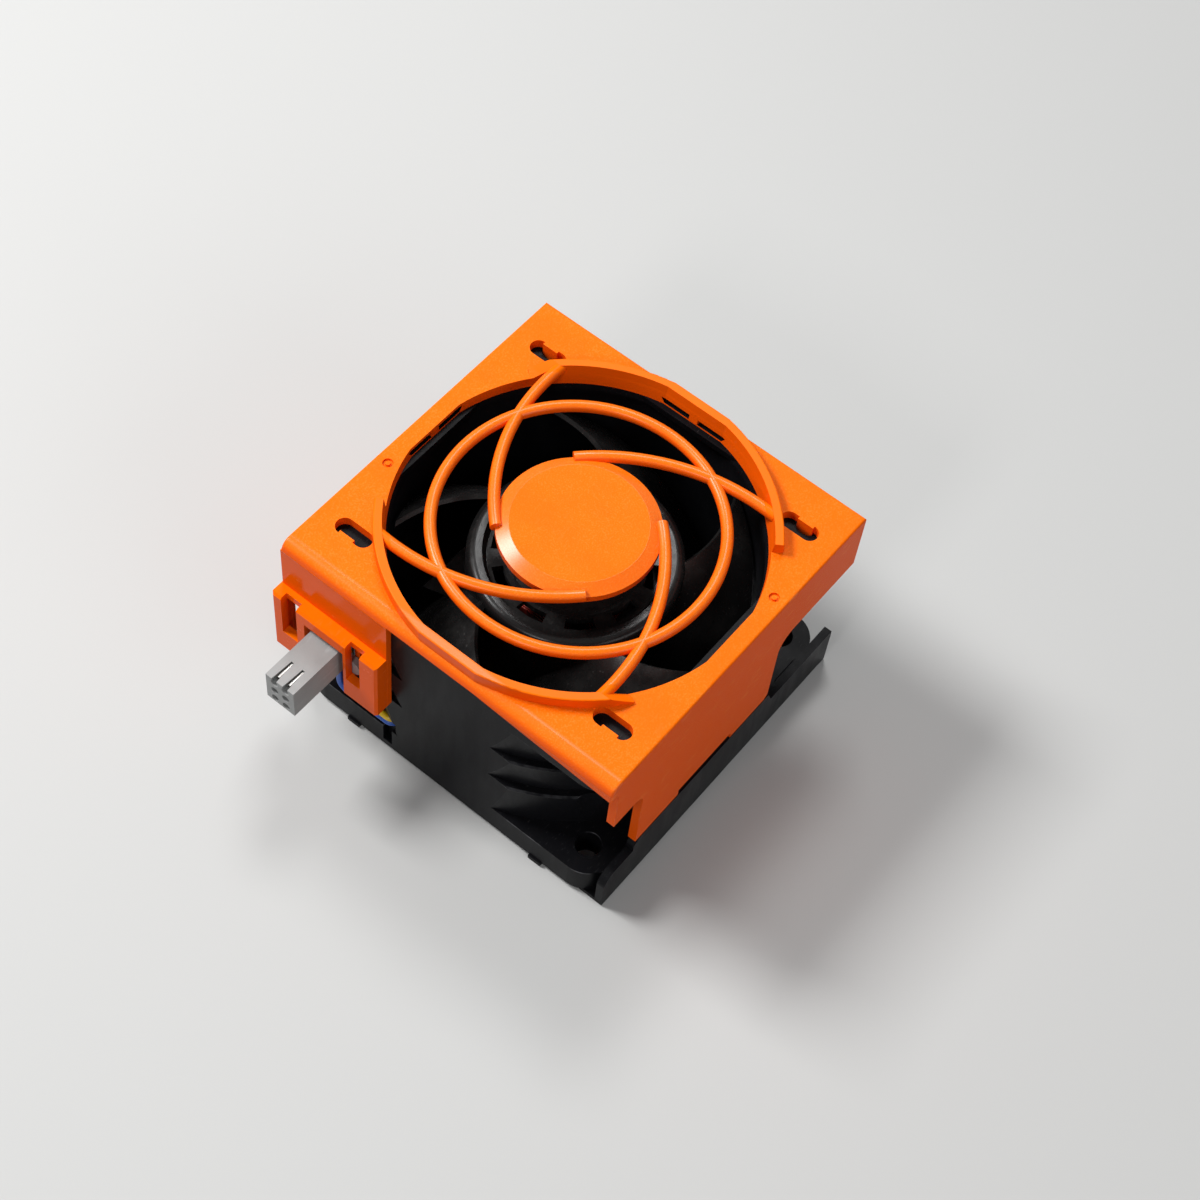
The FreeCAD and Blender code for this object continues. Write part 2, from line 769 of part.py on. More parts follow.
def fan_frame():
    body = new_body("Frame")
    barrel(body)
    flange(body, "tray_floor", "bore")
    flange(body, HIGH_FLANGE, "mouth")
    round_edges(body, "flange_corner", corner_post)
    lip = sketch(body, "top", FRAME_TOP)
    circle(lip, "bore + 2 * bore_mouth")
    flatted_circle(lip, "mouth", "mouth_flat")
    pad(body, lip, "mouth_lip", backwards=True)
    channels = sketch(body, "top", HIGH_FLANGE)
    holes = sketch(body, "top", FRAME_TOP)
    for x in ("-", ""):
        for y in ("-", ""):
            circle(channels, "hole_channel", x + "hole_place", y + "hole_place")
            circle(holes, "hole", x + "hole_place", y + "hole_place")
    pocket(body, channels, "frame_height - 2 * flange")
    pocket(body, holes, "frame_height")
    lead_passage(body)
    notch = sketch(body, "top", LOW_FLANGE)
    half = "flange_notch_width / 2"
    oblong(notch, "-flange_notch_place - " + half, "-flange_notch_place + " + half,
           "-frame_half - overshoot", "-frame_half + flange_notch_depth")
    pocket(body, notch, "flange - flange_notch_depth")
    return keep(body, "fan_frame")


# Motor base: a cup in the middle of the outlet, held at the barrel's wall by the outlet vanes


def outlet_vanes(body):
    vane = sketch(body, "top", "tray_floor")
    root = "vane_root"
    end = "(bore + overshoot)"
    corners = []
    for radius, side in ((root, "-"), (end, "-"), (end, ""), (root, "")):
        across = "%s * cos(lead_angle) - (%svane_width / 2) * sin(lead_angle)" % (radius, side)
        up = "%s * sin(lead_angle) + (%svane_width / 2) * cos(lead_angle)" % (radius, side)
        corners.append((across, up))
    outline(vane, corners)
    around(body, pad(body, vane, "flange"), "vane_count", True)
    trim = sketch(body, "top", LOW_FLANGE)
    circle(trim, "bore + 2 * overshoot")
    circle(trim, "bore")
    pocket(body, trim, "flange")


def motor_base():
    body = new_body("Base")
    profile = sketch(body, "front")
    outline(profile, [
        ("0", "tray_floor"), ("base_radius", "tray_floor"),
        ("base_radius", BASE_TOP + " + base_rim_height"),
        ("base_radius - base_rim", BASE_TOP + " + base_rim_height"),
        ("base_radius - base_rim", BASE_TOP),
        ("boss_radius", BASE_TOP), ("boss_radius", BASE_TOP + " + boss_height"),
        ("tube_radius + rotor_fit", BASE_TOP + " + boss_height"), ("tube_radius + rotor_fit", BASE_TOP),
        ("0", BASE_TOP)])
    revolve(body, profile)
    post = sketch(body, "top", BASE_TOP)
    beside = "(lead_angle + 60)"
    circle(post, "post_radius", "post_place * cos%s" % beside, "post_place * sin%s" % beside)
    around(body, pad(body, post, "base_rim_height + board_rise"), "3", True)
    outlet_vanes(body)
    return keep(body, "motor_base")


# Bearings, their tube, the shaft, its clip and the spring


def bearing_tube():
    body = new_body("Tube")
    profile = sketch(body, "front")
    outline(profile, [
        ("bearing_radius", BASE_TOP), ("tube_radius", BASE_TOP), ("tube_radius", TUBE_TOP),
        ("bearing_radius", TUBE_TOP), ("bearing_radius", FRONT_BEARING),
        ("bearing_radius - tube_shoulder", FRONT_BEARING),
        ("bearing_radius - tube_shoulder", REAR_BEARING + " + bearing_width"),
        ("bearing_radius", REAR_BEARING + " + bearing_width")])
    revolve(body, profile)
    return keep(body, "bearing_tube")


def ball_bearing(label, bottom):
    inner_race = "shaft_radius + shaft_running_gap"
    outer = washer(label + "_outer", "bearing_radius", "bearing_radius - bearing_race",
                   "bearing_width", bottom)
    inner = washer(label + "_inner", inner_race + " + bearing_race", inner_race,
                   "bearing_width", bottom)
    pieces = [outer, inner]
    shield_inner = inner_race + " + bearing_race + bearing_shield"
    for side, height in (("low", bottom), ("high", bottom + " + bearing_width - bearing_shield")):
        pieces.append(washer(label + "_shield_" + side, "bearing_radius - bearing_race", shield_inner,
                             "bearing_shield", height))
    middle = "((bearing_radius + shaft_radius + shaft_running_gap) / 2)"
    for i in range(int(size("ball_count"))):
        ball = doc.addObject("Part::Sphere", label + "_ball")
        ball.setExpression("Radius", cell("ball"))
        angle = "%d * 360 / ball_count" % i
        place(ball, "%s * cos(%s)" % (middle, angle), "%s * sin(%s)" % (middle, angle),
              bottom + " + bearing_width / 2")
        pieces.append(ball)
    return keep(group(label, pieces), label)


def shaft():
    body = new_body("Shaft")
    foot = BASE_TOP + " + shaft_end_gap"
    groove_top = REAR_BEARING + " - clip_gap + groove_play"
    groove_low = REAR_BEARING + " - clip_gap - clip_thickness - groove_play"
    profile = sketch(body, "front")
    outline(profile, [
        ("0", foot), ("shaft_radius - shaft_chamfer", foot), ("shaft_radius", foot + " + shaft_chamfer"),
        ("shaft_radius", groove_low),
        ("shaft_radius - shaft_groove", groove_low), ("shaft_radius - shaft_groove", groove_top),
        ("shaft_radius", groove_top), ("shaft_radius", ROOF_UNDER), ("0", ROOF_UNDER)])
    revolve(body, profile)
    return keep(body, "shaft")


def retaining_clip():
    """a split ring in the shaft's groove, under the rear bearing"""
    bottom = REAR_BEARING + " - clip_gap - clip_thickness"
    ring = washer("clip_ring", "clip_radius", "shaft_radius - shaft_groove + groove_play",
                  "clip_thickness", bottom)
    mouth = box("clip_mouth", "clip_radius + overshoot", "2 * shaft_groove + shaft_radius",
                "clip_thickness", y="-shaft_groove - shaft_radius / 2", z=bottom)
    return keep(cut("clip", ring, mouth), "retaining_clip")


def preload_spring():
    """a short coil between the front bearing's inner ring and the rotor's boss"""
    wire = size("spring_wire")
    height = size("spring_height") - 2 * wire
    turns = size("spring_turns")
    helix = Part.makeHelix(height / turns, height, size("spring_radius"))
    start = Part.Circle(Vector(size("spring_radius"), 0, 0), Vector(0, 1, 0), wire)
    coil = Part.Wire(helix.Edges).makePipeShell([Part.Wire(start.toShape())], True, True)
    made = free_shape("spring", coil)
    foot = total(FRONT_BEARING) + size("bearing_width") + wire
    made.Placement = FreeCAD.Placement(Vector(0, 0, foot), Rotation())
    return keep(made, "preload_spring")


# Stator: laminated poles, plastic end caps, coils, and the board with its components


def pole_outline(profile, grow):
    """one pole, from the core's ring to just outside its round face"""
    half = "(pole_width / 2%s)" % grow
    face = "(core_radius * sin(pole_span / 2)%s)" % grow
    reach = "(core_radius + overshoot)"
    corners = [("(core_ring - overshoot)", half), ("pole_neck", half), ("pole_neck", face), (reach, face)]
    corners = corners + [(x, "-" + y) for x, y in reversed(corners)]
    return outline(profile, corners)


def pole_star(name, bottom, height, grow):
    """a ring with poles all round it, turned to a common radius"""
    body = new_body(name)
    ring = sketch(body, "top", bottom)
    circle(ring, "core_ring")
    circle(ring, CORE_BORE)
    pad(body, ring, height)
    pole = pole_outline(sketch(body, "top", bottom), grow)
    around(body, pad(body, pole, height), "pole_count", True)
    faces = sketch(body, "top", "%s + %s" % (bottom, height))
    circle(faces, "core_radius + 3 * overshoot")
    circle(faces, "core_radius")
    pocket(body, faces, height)
    return body


def stator_core():
    return keep(pole_star("Core", "core_bottom", "core_height", ""), "stator_core")


def stator_insulator():
    low = pole_star("CapLow", "core_bottom - insulator", "insulator", " + insulator_overhang")
    high = pole_star("CapHigh", CORE_TOP, "insulator", " + insulator_overhang")
    return keep(group("insulator_caps", [low, high]), "stator_insulator")


def stator_windings():
    """one rounded coil round each pole, between the core's ring and the pole's face"""
    inside = "(pole_width / 2 + insulator_overhang + coil_gap)"
    start = "(core_ring + coil_gap)"
    length = "(pole_neck - core_ring - 2 * coil_gap)"
    low = "(core_bottom - insulator - coil_gap)"
    tall = "(core_height + 2 * insulator + 2 * coil_gap)"
    block = box("coil_block", length, "2 * (%s + coil_wall)" % inside, tall + " + 2 * coil_wall",
                x=start, y="-(%s + coil_wall)" % inside, z=low + " - coil_wall")
    window = box("coil_window", length, "2 * " + inside, tall, x=start, y="-" + inside, z=low)
    doc.recompute()
    rounded = doc.addObject("Part::Fillet", "coil_rounded")
    rounded.Base = block
    lengthwise = edges_where(
        block.Shape, lambda edge, middle: abs(edge.tangentAt(edge.FirstParameter).x) > 0.99)
    rounded.Edges = [(int(name[4:]), size("coil_round"), size("coil_round")) for name in lengthwise]
    coil = cut("coil", rounded, window)
    doc.recompute()
    count = int(size("pole_count"))
    coils = [turned("coil_%d" % i, coil, 360.0 * i / count) for i in range(count)]
    return keep(group("windings", coils), "stator_windings")


def circuit_board():
    board = washer("board", "board_radius", "board_inner", "board_thickness", BOARD_BOTTOM)
    return keep(board, "circuit_board")


def board_components():
    made = []
    for name in BOARD_PIECES:
        piece = box(name, name + "_length", name + "_width", name + "_height")
        angle = size(name + "_angle")
        start = "(%s_reach - %s_length / 2)" % (name, name)
        x = "%s * cos(%s_angle) + %s_width / 2 * sin(%s_angle)" % (start, name, name, name)
        y = "%s * sin(%s_angle) - %s_width / 2 * cos(%s_angle)" % (start, name, name, name)
        made.append(place(piece, x, y, BOARD_TOP, angle))
    return keep(group("components", made), "board_components")


# Rotor: magnet ring, steel cup and the bladed hub


def rotor_magnet():
    magnet = washer("magnet", MAGNET_OUTER, MAGNET_INNER, "magnet_height", "magnet_bottom")
    return keep(magnet, "rotor_magnet")


def vents(body, top, depth, phase):
    """a ring of curved slots through a roof"""
    slot = sketch(body, "top", top)
    inner = "(vent_radius - vent_width / 2)"
    outer = "(vent_radius + vent_width / 2)"
    low = phase + " - vent_span / 2"
    high = phase + " + vent_span / 2"
    swell = "(%s / cos(vent_span / 4))"
    corners = [(inner, low), (outer, low), (swell % outer, phase), (outer, high), (inner, high),
               (swell % inner, phase)]
    outline(slot, [("%s * cos(%s)" % (r, a), "%s * sin(%s)" % (r, a)) for r, a in corners])
    around(body, pocket(body, slot, depth), "vent_count", False)


def rotor_yoke():
    """a steel ring whose upper edge turns inwards as far as the vents"""
    body = new_body("Yoke")
    profile = sketch(body, "front")
    eye = "vent_radius + vent_width / 2 + yoke_inset"
    outline(profile, [
        (YOKE_INNER, "yoke_bottom"), (YOKE_OUTER, "yoke_bottom"), (YOKE_OUTER, YOKE_TOP), (eye, YOKE_TOP),
        (eye, YOKE_TOP + " - yoke_wall"), (YOKE_INNER, YOKE_TOP + " - yoke_wall")])
    revolve(body, profile)
    return keep(body, "rotor_yoke")


def impeller_hub(seam):
    """the hub without its blades, turned so that its seam lies at a stated angle"""
    body = new_body("Hub")
    profile = sketch(body, "front")
    floor = "(hub_top - hub_channel_depth)"
    outline(profile, [
        ("shaft_radius", BOSS_UNDER), ("rotor_boss_radius", BOSS_UNDER),
        ("rotor_boss_radius", ROOF_UNDER), (HUB_INNER, ROOF_UNDER), (HUB_INNER, "hub_bottom"),
        ("hub_radius", "hub_bottom"), ("hub_radius", "hub_top"),
        ("hub_channel_outer + hub_channel_depth / 2", "hub_top"), ("hub_channel_outer", floor),
        ("hub_channel_inner", floor), ("hub_channel_inner - hub_cap_slope", "hub_top - hub_cap_drop"),
        ("0", "hub_top - hub_cap_drop"),
        ("0", ROOF_UNDER), ("shaft_radius", ROOF_UNDER)])
    revolve(body, profile)
    limit = size("hub_radius")
    top = size("hub_top")
    round_edges(body, "hub_round",
                lambda edge, middle: near(middle.z, top) and near(math.hypot(middle.x, middle.y), limit))
    vents(body, floor, "hub_roof", "vent_phase - %.6f" % seam)
    body.Placement = FreeCAD.Placement(Vector(0, 0, 0), Rotation(UP, seam))
    return body


def blade_point(radius, share):
    """a point of a blade's middle surface, by radius and by share of the chord from its leading edge"""
    lead = size("blade_lead") + size("blade_sweep") * (radius - size("blade_lead_radius"))
    point = polar(radius, lead - size("blade_wrap") * share)
    camber = size("blade_camber")
    drop = size("blade_top") - size("blade_bottom")
    point.z = size("blade_top") - drop * (camber * share + (1 - camber) * share ** 2)
    return point


def blade_face(side):
    """one face of a blade, at half its thickness from the middle surface, thinner at both edges"""
    root = size("hub_radius") - size("blade_root_depth")
    reach = size("blade_tip") + size("blade_overrun") - root
    edge = size("blade_edge_share")
    stations = 4
    step = 0.01
    grid = []
    for i in range(stations):
        radius = root + reach * i / (stations - 1)
        row = []
        for j in range(stations):
            share = j / (stations - 1)
            chord = blade_point(radius, share + step).sub(blade_point(radius, share - step))
            outward = blade_point(radius + step, share).sub(blade_point(radius, share))
            normal = chord.cross(outward).normalize()
            swell = edge + (1 - edge) * math.sin(math.pi * share)
            offset = normal.multiply(side * size("blade_thickness") / 2 * swell)
            row.append(blade_point(radius, share).add(offset))
        grid.append(row)
    surface = Part.BSplineSurface()
    surface.interpolate(grid)
    return surface


def blade_solid():
    """one sickle blade: two curved faces, closed all round and trimmed to the hub and the tip"""
    upper = blade_face(1)
    lower = blade_face(-1)
    faces = [upper.toShape(), lower.toShape()]
    first_u, last_u, first_v, last_v = upper.bounds()
    borders = [(face.uIso(first_u), face.uIso(last_u), face.vIso(first_v), face.vIso(last_v))
               for face in (upper, lower)]
    for edge, opposite in zip(*borders):
        faces.append(Part.makeRuledSurface(edge.toShape(), opposite.toShape()))
    shell = Part.makeShell(faces)
    shell.sewShape()
    solid = Part.makeSolid(shell)
    if solid.Volume < 0:
        solid.reverse()
    height = size("frame_height")
    inside = Part.makeCylinder(size("hub_radius") - size("blade_embed"), height)
    limit = Part.makeCylinder(size("blade_tip"), height).cut(inside)
    return solid.common(limit).Solids[0]


def impeller():
    """the hub and its ring of blades; the hub's seam lies between two blades"""
    blade = free_shape("blade", blade_solid())
    count = int(size("blade_count"))
    blades = [turned("blade_%d" % i, blade, 360.0 * i / count) for i in range(count)]
    gap = (360.0 / count - size("blade_wrap")) / 2
    seam = size("blade_lead") + size("blade_sweep") * (size("hub_radius") - size("blade_lead_radius")) + gap
    hub = impeller_hub(seam)
    return keep(fuse("bladed_hub", [hub] + blades), "impeller")


# Shroud: the orange moulding with its guard, rims, skirts, snap hooks and plug bracket


def shroud_plate(body):
    plate = sketch(body, "top", FRAME_TOP)
    oblong(plate, "-plate_half", "plate_half", "-plate_front", "plate_rear")
    pad(body, plate, "plate")
    lip = sketch(body, "top", PLATE_TOP)
    oblong(lip, "-plate_half", "plate_half", "-plate_front", "-frame_half - lip_gap")
    pad(body, lip, "lip_drop", backwards=True)
    front = -size("plate_front")
    top = total(PLATE_TOP)
    round_edges(body, "plate_round", lambda edge, middle: near(middle.y, front) and near(middle.z, top))
    side = size("plate_half")
    rear = size("plate_rear")
    round_edges(body, "moulded_edge",
                lambda edge, middle: near(middle.z, top)
                and (near(abs(middle.x), side) or near(middle.y, rear)))
    slope = sketch(body, "front", "plate_front")
    low = PLATE_TOP + " - lip_drop"
    end = "plate_half + overshoot"
    outline(slope, [
        ("-bracket_right", low + " - overshoot"), (end, low + " - overshoot"), (end, low),
        ("lip_start", FRAME_TOP), ("-bracket_right", FRAME_TOP)])
    pocket(body, slope, "plate_front - frame_half")


def rims(body):
    """raised edges along two sides of the opening, blunt at one end and sloped off at the other"""
    band = sketch(body, "top", PLATE_TOP)
    flatted_circle(band, "rim_radius", "rim_flat")
    pad(body, band, "rim_height")
    gaps = sketch(body, "top", PLATE_TOP + " + rim_height")
    for sign in ("", "-"):
        corners = []
        for radius, angle in (
                ("rim_gap_start", "-rim_point"), ("(2 * rim_radius)", "-rim_point"),
                ("(2 * rim_radius)", "rim_blunt"), ("rim_gap_start", "rim_blunt")):
            reach = sign + radius
            corners.append(("%s * cos(%s)" % (reach, angle), "%s * sin(%s)" % (reach, angle)))
        outline(gaps, corners)
    pocket(body, gaps, "rim_height")
    for sign in ("", "-"):
        high = PLATE_TOP + " + rim_height"
        start = "-rim_ramp_start" if sign == "" else "rim_ramp_start"
        end = "-rim_ramp_end" if sign == "" else "rim_ramp_end"
        ramp = sketch(body, "side", sign + "2 * rim_gap_start")
        outline(ramp, [(start, high), ("0", high), ("0", PLATE_TOP), (end, PLATE_TOP)])
        pocket(body, ramp, "rim_gap_start", backwards=sign == "-")
    crest = total(PLATE_TOP) + size("rim_height")
    outer = size("rim_radius")
    flat = size("rim_flat")
    round_edges(body, "rim_edge",
                lambda edge, middle: near(middle.z, crest)
                and (near(math.hypot(middle.x, middle.y), outer) or near(abs(middle.y), flat)))
    hole = sketch(body, "top", PLATE_TOP + " + rim_height")
    flatted_circle(hole, "opening", "opening_flat")
    made = pocket(body, hole, "rim_height + plate")
    made.setExpression("TaperAngle", cell("-opening_taper"))
    doc.recompute()


def low_windows(body):
    """pairs of low windows under the opening's four straight edges"""
    windows = sketch(body, "top", FRAME_TOP)
    near_end = "(opening_flat - window_overlap)"
    far_end = "(opening_flat + window_depth)"
    low = "(window_tab / 2)"
    high = "(window_tab / 2 + window_length)"
    for side in ("", "-"):
        for part in ("", "-"):
            oblong(windows, part + low, part + high, side + near_end, side + far_end)
            oblong(windows, side + near_end, side + "(plate_half - skirt)", part + low, part + high)
    pocket(body, windows, "window_height", backwards=True)


def gate_marks(body):
    """the two moulding gates: a small dish with a nub in it"""
    dishes = sketch(body, "top", PLATE_TOP)
    for side in ("", "-"):
        circle(dishes, "gate_dish", side + "gate_x", side + "gate_y")
        circle(dishes, "gate_nub", side + "gate_x", side + "gate_y")
    pocket(body, dishes, "gate_depth")


def slots_and_hooks(body):
    """four slots with round ends, and a snap hook that hangs beside each"""
    slots = sketch(body, "top", PLATE_TOP)
    ends = sketch(body, "top", PLATE_TOP)
    arms = sketch(body, "top", PLATE_TOP)
    straight = "(slot_length - slot_width) / 2"
    inner = "(slot_y + slot_width / 2 - arm_inset)"
    for x in ("", "-"):
        for y in ("", "-"):
            oblong(slots, "%sslot_x - %s" % (x, straight), "%sslot_x + %s" % (x, straight),
                   y + "slot_y - slot_width / 2", y + "slot_y + slot_width / 2")
            for end in ("-", "+"):
                circle(ends, "slot_width / 2", "%sslot_x %s %s" % (x, end, straight), y + "slot_y")
            oblong(arms, x + "hole_place - arm_width / 2", x + "hole_place + arm_width / 2",
                   y + inner, "%s(%s + arm_thickness)" % (y, inner))
    pocket(body, slots, "plate")
    pocket(body, ends, "plate")
    pad(body, arms, "plate + flange + barb_gap + barb_height", backwards=True)
    catch = HIGH_FLANGE + " - barb_gap"
    for x in ("", "-"):
        barbs = sketch(body, "side", "%shole_place - barb_width / 2" % x)
        for y in ("", "-"):
            tip = "%s(%s - barb_reach)" % (y, inner)
            outline(barbs, [(y + inner, catch), (tip, catch), (y + inner, catch + " - barb_height")])
        pad(body, barbs, "barb_width")


def skirts(body):
    """the two side walls, each with a leg, a deep middle with a notch, and a raised arm"""
    for side in ("", "-"):
        inner = "plate_half - skirt" if side == "" else "-plate_half"
        wall = sketch(body, "side", inner)
        outline(wall, [
            ("-plate_front + plate_round / 2", FRAME_TOP + " + plate / 2"),
            ("-plate_front + plate_round / 2", "skirt_leg_shoulder"),
            ("-skirt_leg_front", "skirt_leg_shoulder"),
            ("-skirt_leg_front", "skirt_leg_bottom"), ("-skirt_deep_front", "skirt_leg_bottom"),
            ("-skirt_deep_front", "skirt_deep_bottom"), ("-skirt_notch_front", "skirt_deep_bottom"),
            ("-skirt_notch_front", "skirt_deep_bottom + skirt_notch_rise"),
            ("skirt_notch_rear", "skirt_deep_bottom + skirt_notch_rise"),
            ("skirt_notch_rear", "skirt_deep_bottom"),
            ("skirt_deep_rear - skirt_chamfer", "skirt_deep_bottom"),
            ("skirt_deep_rear", "skirt_deep_bottom + skirt_chamfer"), ("skirt_deep_rear", "skirt_arm_bottom"),
            ("plate_rear", "skirt_arm_bottom"), ("plate_rear", FRAME_TOP + " + plate / 2")])
        pad(body, wall, "skirt")
    crook = size("skirt_deep_rear")
    under = size("skirt_arm_bottom")
    round_edges(body, "skirt_curve",
                lambda edge, middle: near(middle.y, crook) and near(middle.z, under), grows=True)
    web = -size("skirt_deep_front")
    leg = size("skirt_leg_bottom")
    round_edges(body, "skirt_web",
                lambda edge, middle: near(middle.y, web) and near(middle.z, leg), grows=True)


def plug_bracket(body):
    """the wall and the open box in front of the frame that hold the plug"""
    wall = sketch(body, "top", "bracket_ledge")
    oblong(wall, "-plate_half", "-bracket_right", "-plate_front", "-frame_half - lip_gap")
    pad(body, wall, FRAME_TOP + " - bracket_ledge")
    shell = sketch(body, "top", "bracket_bottom")
    left_in = "(-bracket_left + bracket_wall)"
    right_in = "(-bracket_right - bracket_wall)"
    front_in = "(-bracket_front + bracket_wall)"
    back = "(-frame_half - lip_gap)"
    outline(shell, [
        ("-bracket_left", "-bracket_front"), ("-bracket_right", "-bracket_front"),
        ("-bracket_right", back), (right_in, back), (right_in, front_in), (left_in, front_in),
        (left_in, back), ("-bracket_left", back)])
    pad(body, shell, "bracket_ledge - bracket_bottom")
    roof = sketch(body, "top", "bracket_ledge")
    oblong(roof, "-bracket_left", "-bracket_right", "-bracket_front", back)
    pad(body, roof, "bracket_wall", backwards=True)
    bevel = sketch(body, "side", "-bracket_right")
    outline(bevel, [("-bracket_front", "bracket_ledge - moulded_edge"), ("-bracket_front", "bracket_ledge"),
                    ("-bracket_front + moulded_edge", "bracket_ledge")])
    pocket(body, bevel, "bracket_left - bracket_right")
    corners = sketch(body, "top", "bracket_ledge")
    for end, inward in (("-bracket_left", " + moulded_edge"), ("-bracket_right", " - moulded_edge")):
        outline(corners, [(end, "-bracket_front"), (end + inward, "-bracket_front"),
                          (end, "-bracket_front + moulded_edge")])
    pocket(body, corners, "bracket_height")
    mouth = sketch(body, "front", "bracket_front")
    oblong(mouth, "plug_x - bracket_mouth / 2", "plug_x + bracket_mouth / 2", "bracket_bottom - overshoot",
           "bracket_mouth_top")
    pocket(body, mouth, "bracket_wall")
    windows = sketch(body, "front", "bracket_front")
    left = "-bracket_left + bracket_window_margin"
    right = "-bracket_right - bracket_window_inset"
    top = "bracket_ledge + overshoot"
    oblong(windows, left, left + " + bracket_window_left", "bracket_window_bottom", top)
    oblong(windows, right + " - bracket_window_right", right, "bracket_window_bottom", top)
    pocket(body, windows, "bracket_wall")
    foot_top = "(plug_wing_bottom - rib_gap)"
    foot_low = "(plug_wing_bottom - rib_gap - rib_foot)"
    rear = "(-plug_back + rib_gap)"
    under = "bracket_ledge - bracket_wall"
    for left in ("(plug_x - bracket_mouth / 2 - rib_width)", "(plug_x + bracket_mouth / 2)"):
        rib = sketch(body, "side", left)
        outline(rib, [(back, under), (back, foot_low), (front_in, foot_low), (front_in, foot_top),
                      (rear, foot_top), (rear, under)])
        pad(body, rib, "rib_width")


def guard():
    """the hub disc, the ring and the curved spokes of the finger guard"""
    disc = new_body("Disc")
    profile = sketch(disc, "front")
    outline(profile, [("0", "disc_bottom"), ("disc_radius", "disc_bottom"), ("disc_radius", "disc_edge"),
                      ("disc_flat", "disc_top"), ("0", "disc_top")])
    revolve(disc, profile)
    ring = doc.addObject("Part::Torus", "guard_ring")
    ring.setExpression("Radius1", cell("guard_ring"))
    ring.setExpression("Radius2", cell("guard_rod"))
    place(ring, z="guard_level")
    return [disc, ring] + spokes()


def spokes():
    """arcs of round rod, from the disc's edge to the opening's wall"""
    root = polar(size("spoke_root"), size("spoke_root_angle"))
    end = polar(size("spoke_end"), size("spoke_end_angle"))
    chord = end.sub(root)
    radius = size("spoke_arc")
    inward = Vector(chord.y, -chord.x, 0).normalize()
    depth = math.sqrt(radius ** 2 - (chord.Length / 2) ** 2)
    centre = root.add(chord.multiply(0.5)).add(inward.multiply(depth))
    first = math.degrees(math.atan2(end.y - centre.y, end.x - centre.x))
    last = math.degrees(math.atan2(root.y - centre.y, root.x - centre.x))
    made = []
    for i in range(int(size("spoke_count"))):
        turn = Rotation(UP, 360.0 * i / size("spoke_count"))
        rod = doc.addObject("Part::Torus", "spoke")
        rod.setExpression("Radius1", cell("spoke_arc"))
        rod.setExpression("Radius2", cell("guard_rod"))
        rod.Angle3 = last - first
        rod.Placement = FreeCAD.Placement(turn.multVec(centre), turn.multiply(Rotation(UP, first)))
        rod.setExpression("Placement.Base.z", cell("guard_level"))
        made.append(rod)
    return made


def shroud():
    body = new_body("Shroud")
    shroud_plate(body)
    rims(body)
    low_windows(body)
    gate_marks(body)
    slots_and_hooks(body)
    skirts(body)
    plug_bracket(body)
    return keep(fuse("guarded_shroud", [body] + guard()), "shroud")


# Plug and leads


def plug_housing():
    body = new_body("Plug")
    core = sketch(body, "front", "plug_back")
    oblong(core, "plug_x - plug_width / 2", "plug_x + plug_width / 2", "plug_bottom",
           "plug_bottom + plug_height")
    pad(body, core, "plug_front - plug_back")
    wings = sketch(body, "front", "plug_back")
    reach = "(plug_wing_half - plug_wing_height / 2)"
    axis = "(plug_wing_bottom + plug_wing_height / 2)"
    length = "bracket_front - bracket_wall - plug_wing_gap - plug_back"
    oblong(wings, "plug_x - " + reach, "plug_x + " + reach, "plug_wing_bottom",
           "plug_wing_bottom + plug_wing_height")
    pad(body, wings, length)
    for side in ("-", "+"):
        ear = sketch(body, "front", "plug_back")
        circle(ear, "plug_wing_height / 2", "plug_x %s %s" % (side, reach), axis)
        pad(body, ear, length)
    cavities = sketch(body, "front", "plug_front")
    for column in (-1, 1):
        for row in (-1, 0, 1):
            circle(cavities, "plug_cavity", "plug_x + %d * plug_pitch / 2" % column,
                   "%s + %d * plug_pitch" % (PLUG_MIDDLE, row))
    pocket(body, cavities, "plug_front - plug_back")
    slots = sketch(body, "top", "plug_bottom + plug_height")
    for column in ("-", "+"):
        middle = "plug_x %s plug_pitch / 2" % column
        front = "-plug_front"
        back = "-(plug_front - plug_slot_length)"
        outline(slots, [
            (middle + " - plug_slot_width / 2", front), (middle + " + plug_slot_width / 2", front),
            (middle + " + plug_slot_tip / 2", back), (middle + " - plug_slot_tip / 2", back)])
    pocket(body, slots, "plug_slot_depth")
    return keep(body, "plug_housing")


LEADS = (
    # label, side of the bundle (1 is outer), level (1 is upper)
    ("lead_yellow", 1, 1),
    ("lead_blue", 1, 0),
    ("lead_black", 0, 1),
    ("lead_red", 0, 0),
)


def plug_cavity_of(side, level):
    """the cavity that a lead goes into: (x, z)"""
    x = size("plug_x") + (0.5 if level else -0.5) * size("plug_pitch")
    z = size("plug_bottom") + size("plug_height") / 2 + (-1 if side else 1) * size("plug_pitch")
    return x, z


def plug_contacts():
    """one crimped sleeve in each wired cavity, open at the front"""
    made = []
    for label, side, level in LEADS:
        x, z = plug_cavity_of(side, level)
        front = -size("plug_front") + size("contact_inset")
        along = Vector(0, 1, 0)
        end = Vector(x, front, z)
        sleeve = Part.makeCylinder(size("contact_radius"), size("contact_length"), end, along)
        bore = Part.makeCylinder(size("contact_bore"), size("contact_bore_length"), end, along)
        made.append(free_shape("contact", sleeve.cut(bore)))
    return keep(group("contacts", made), "plug_contacts")


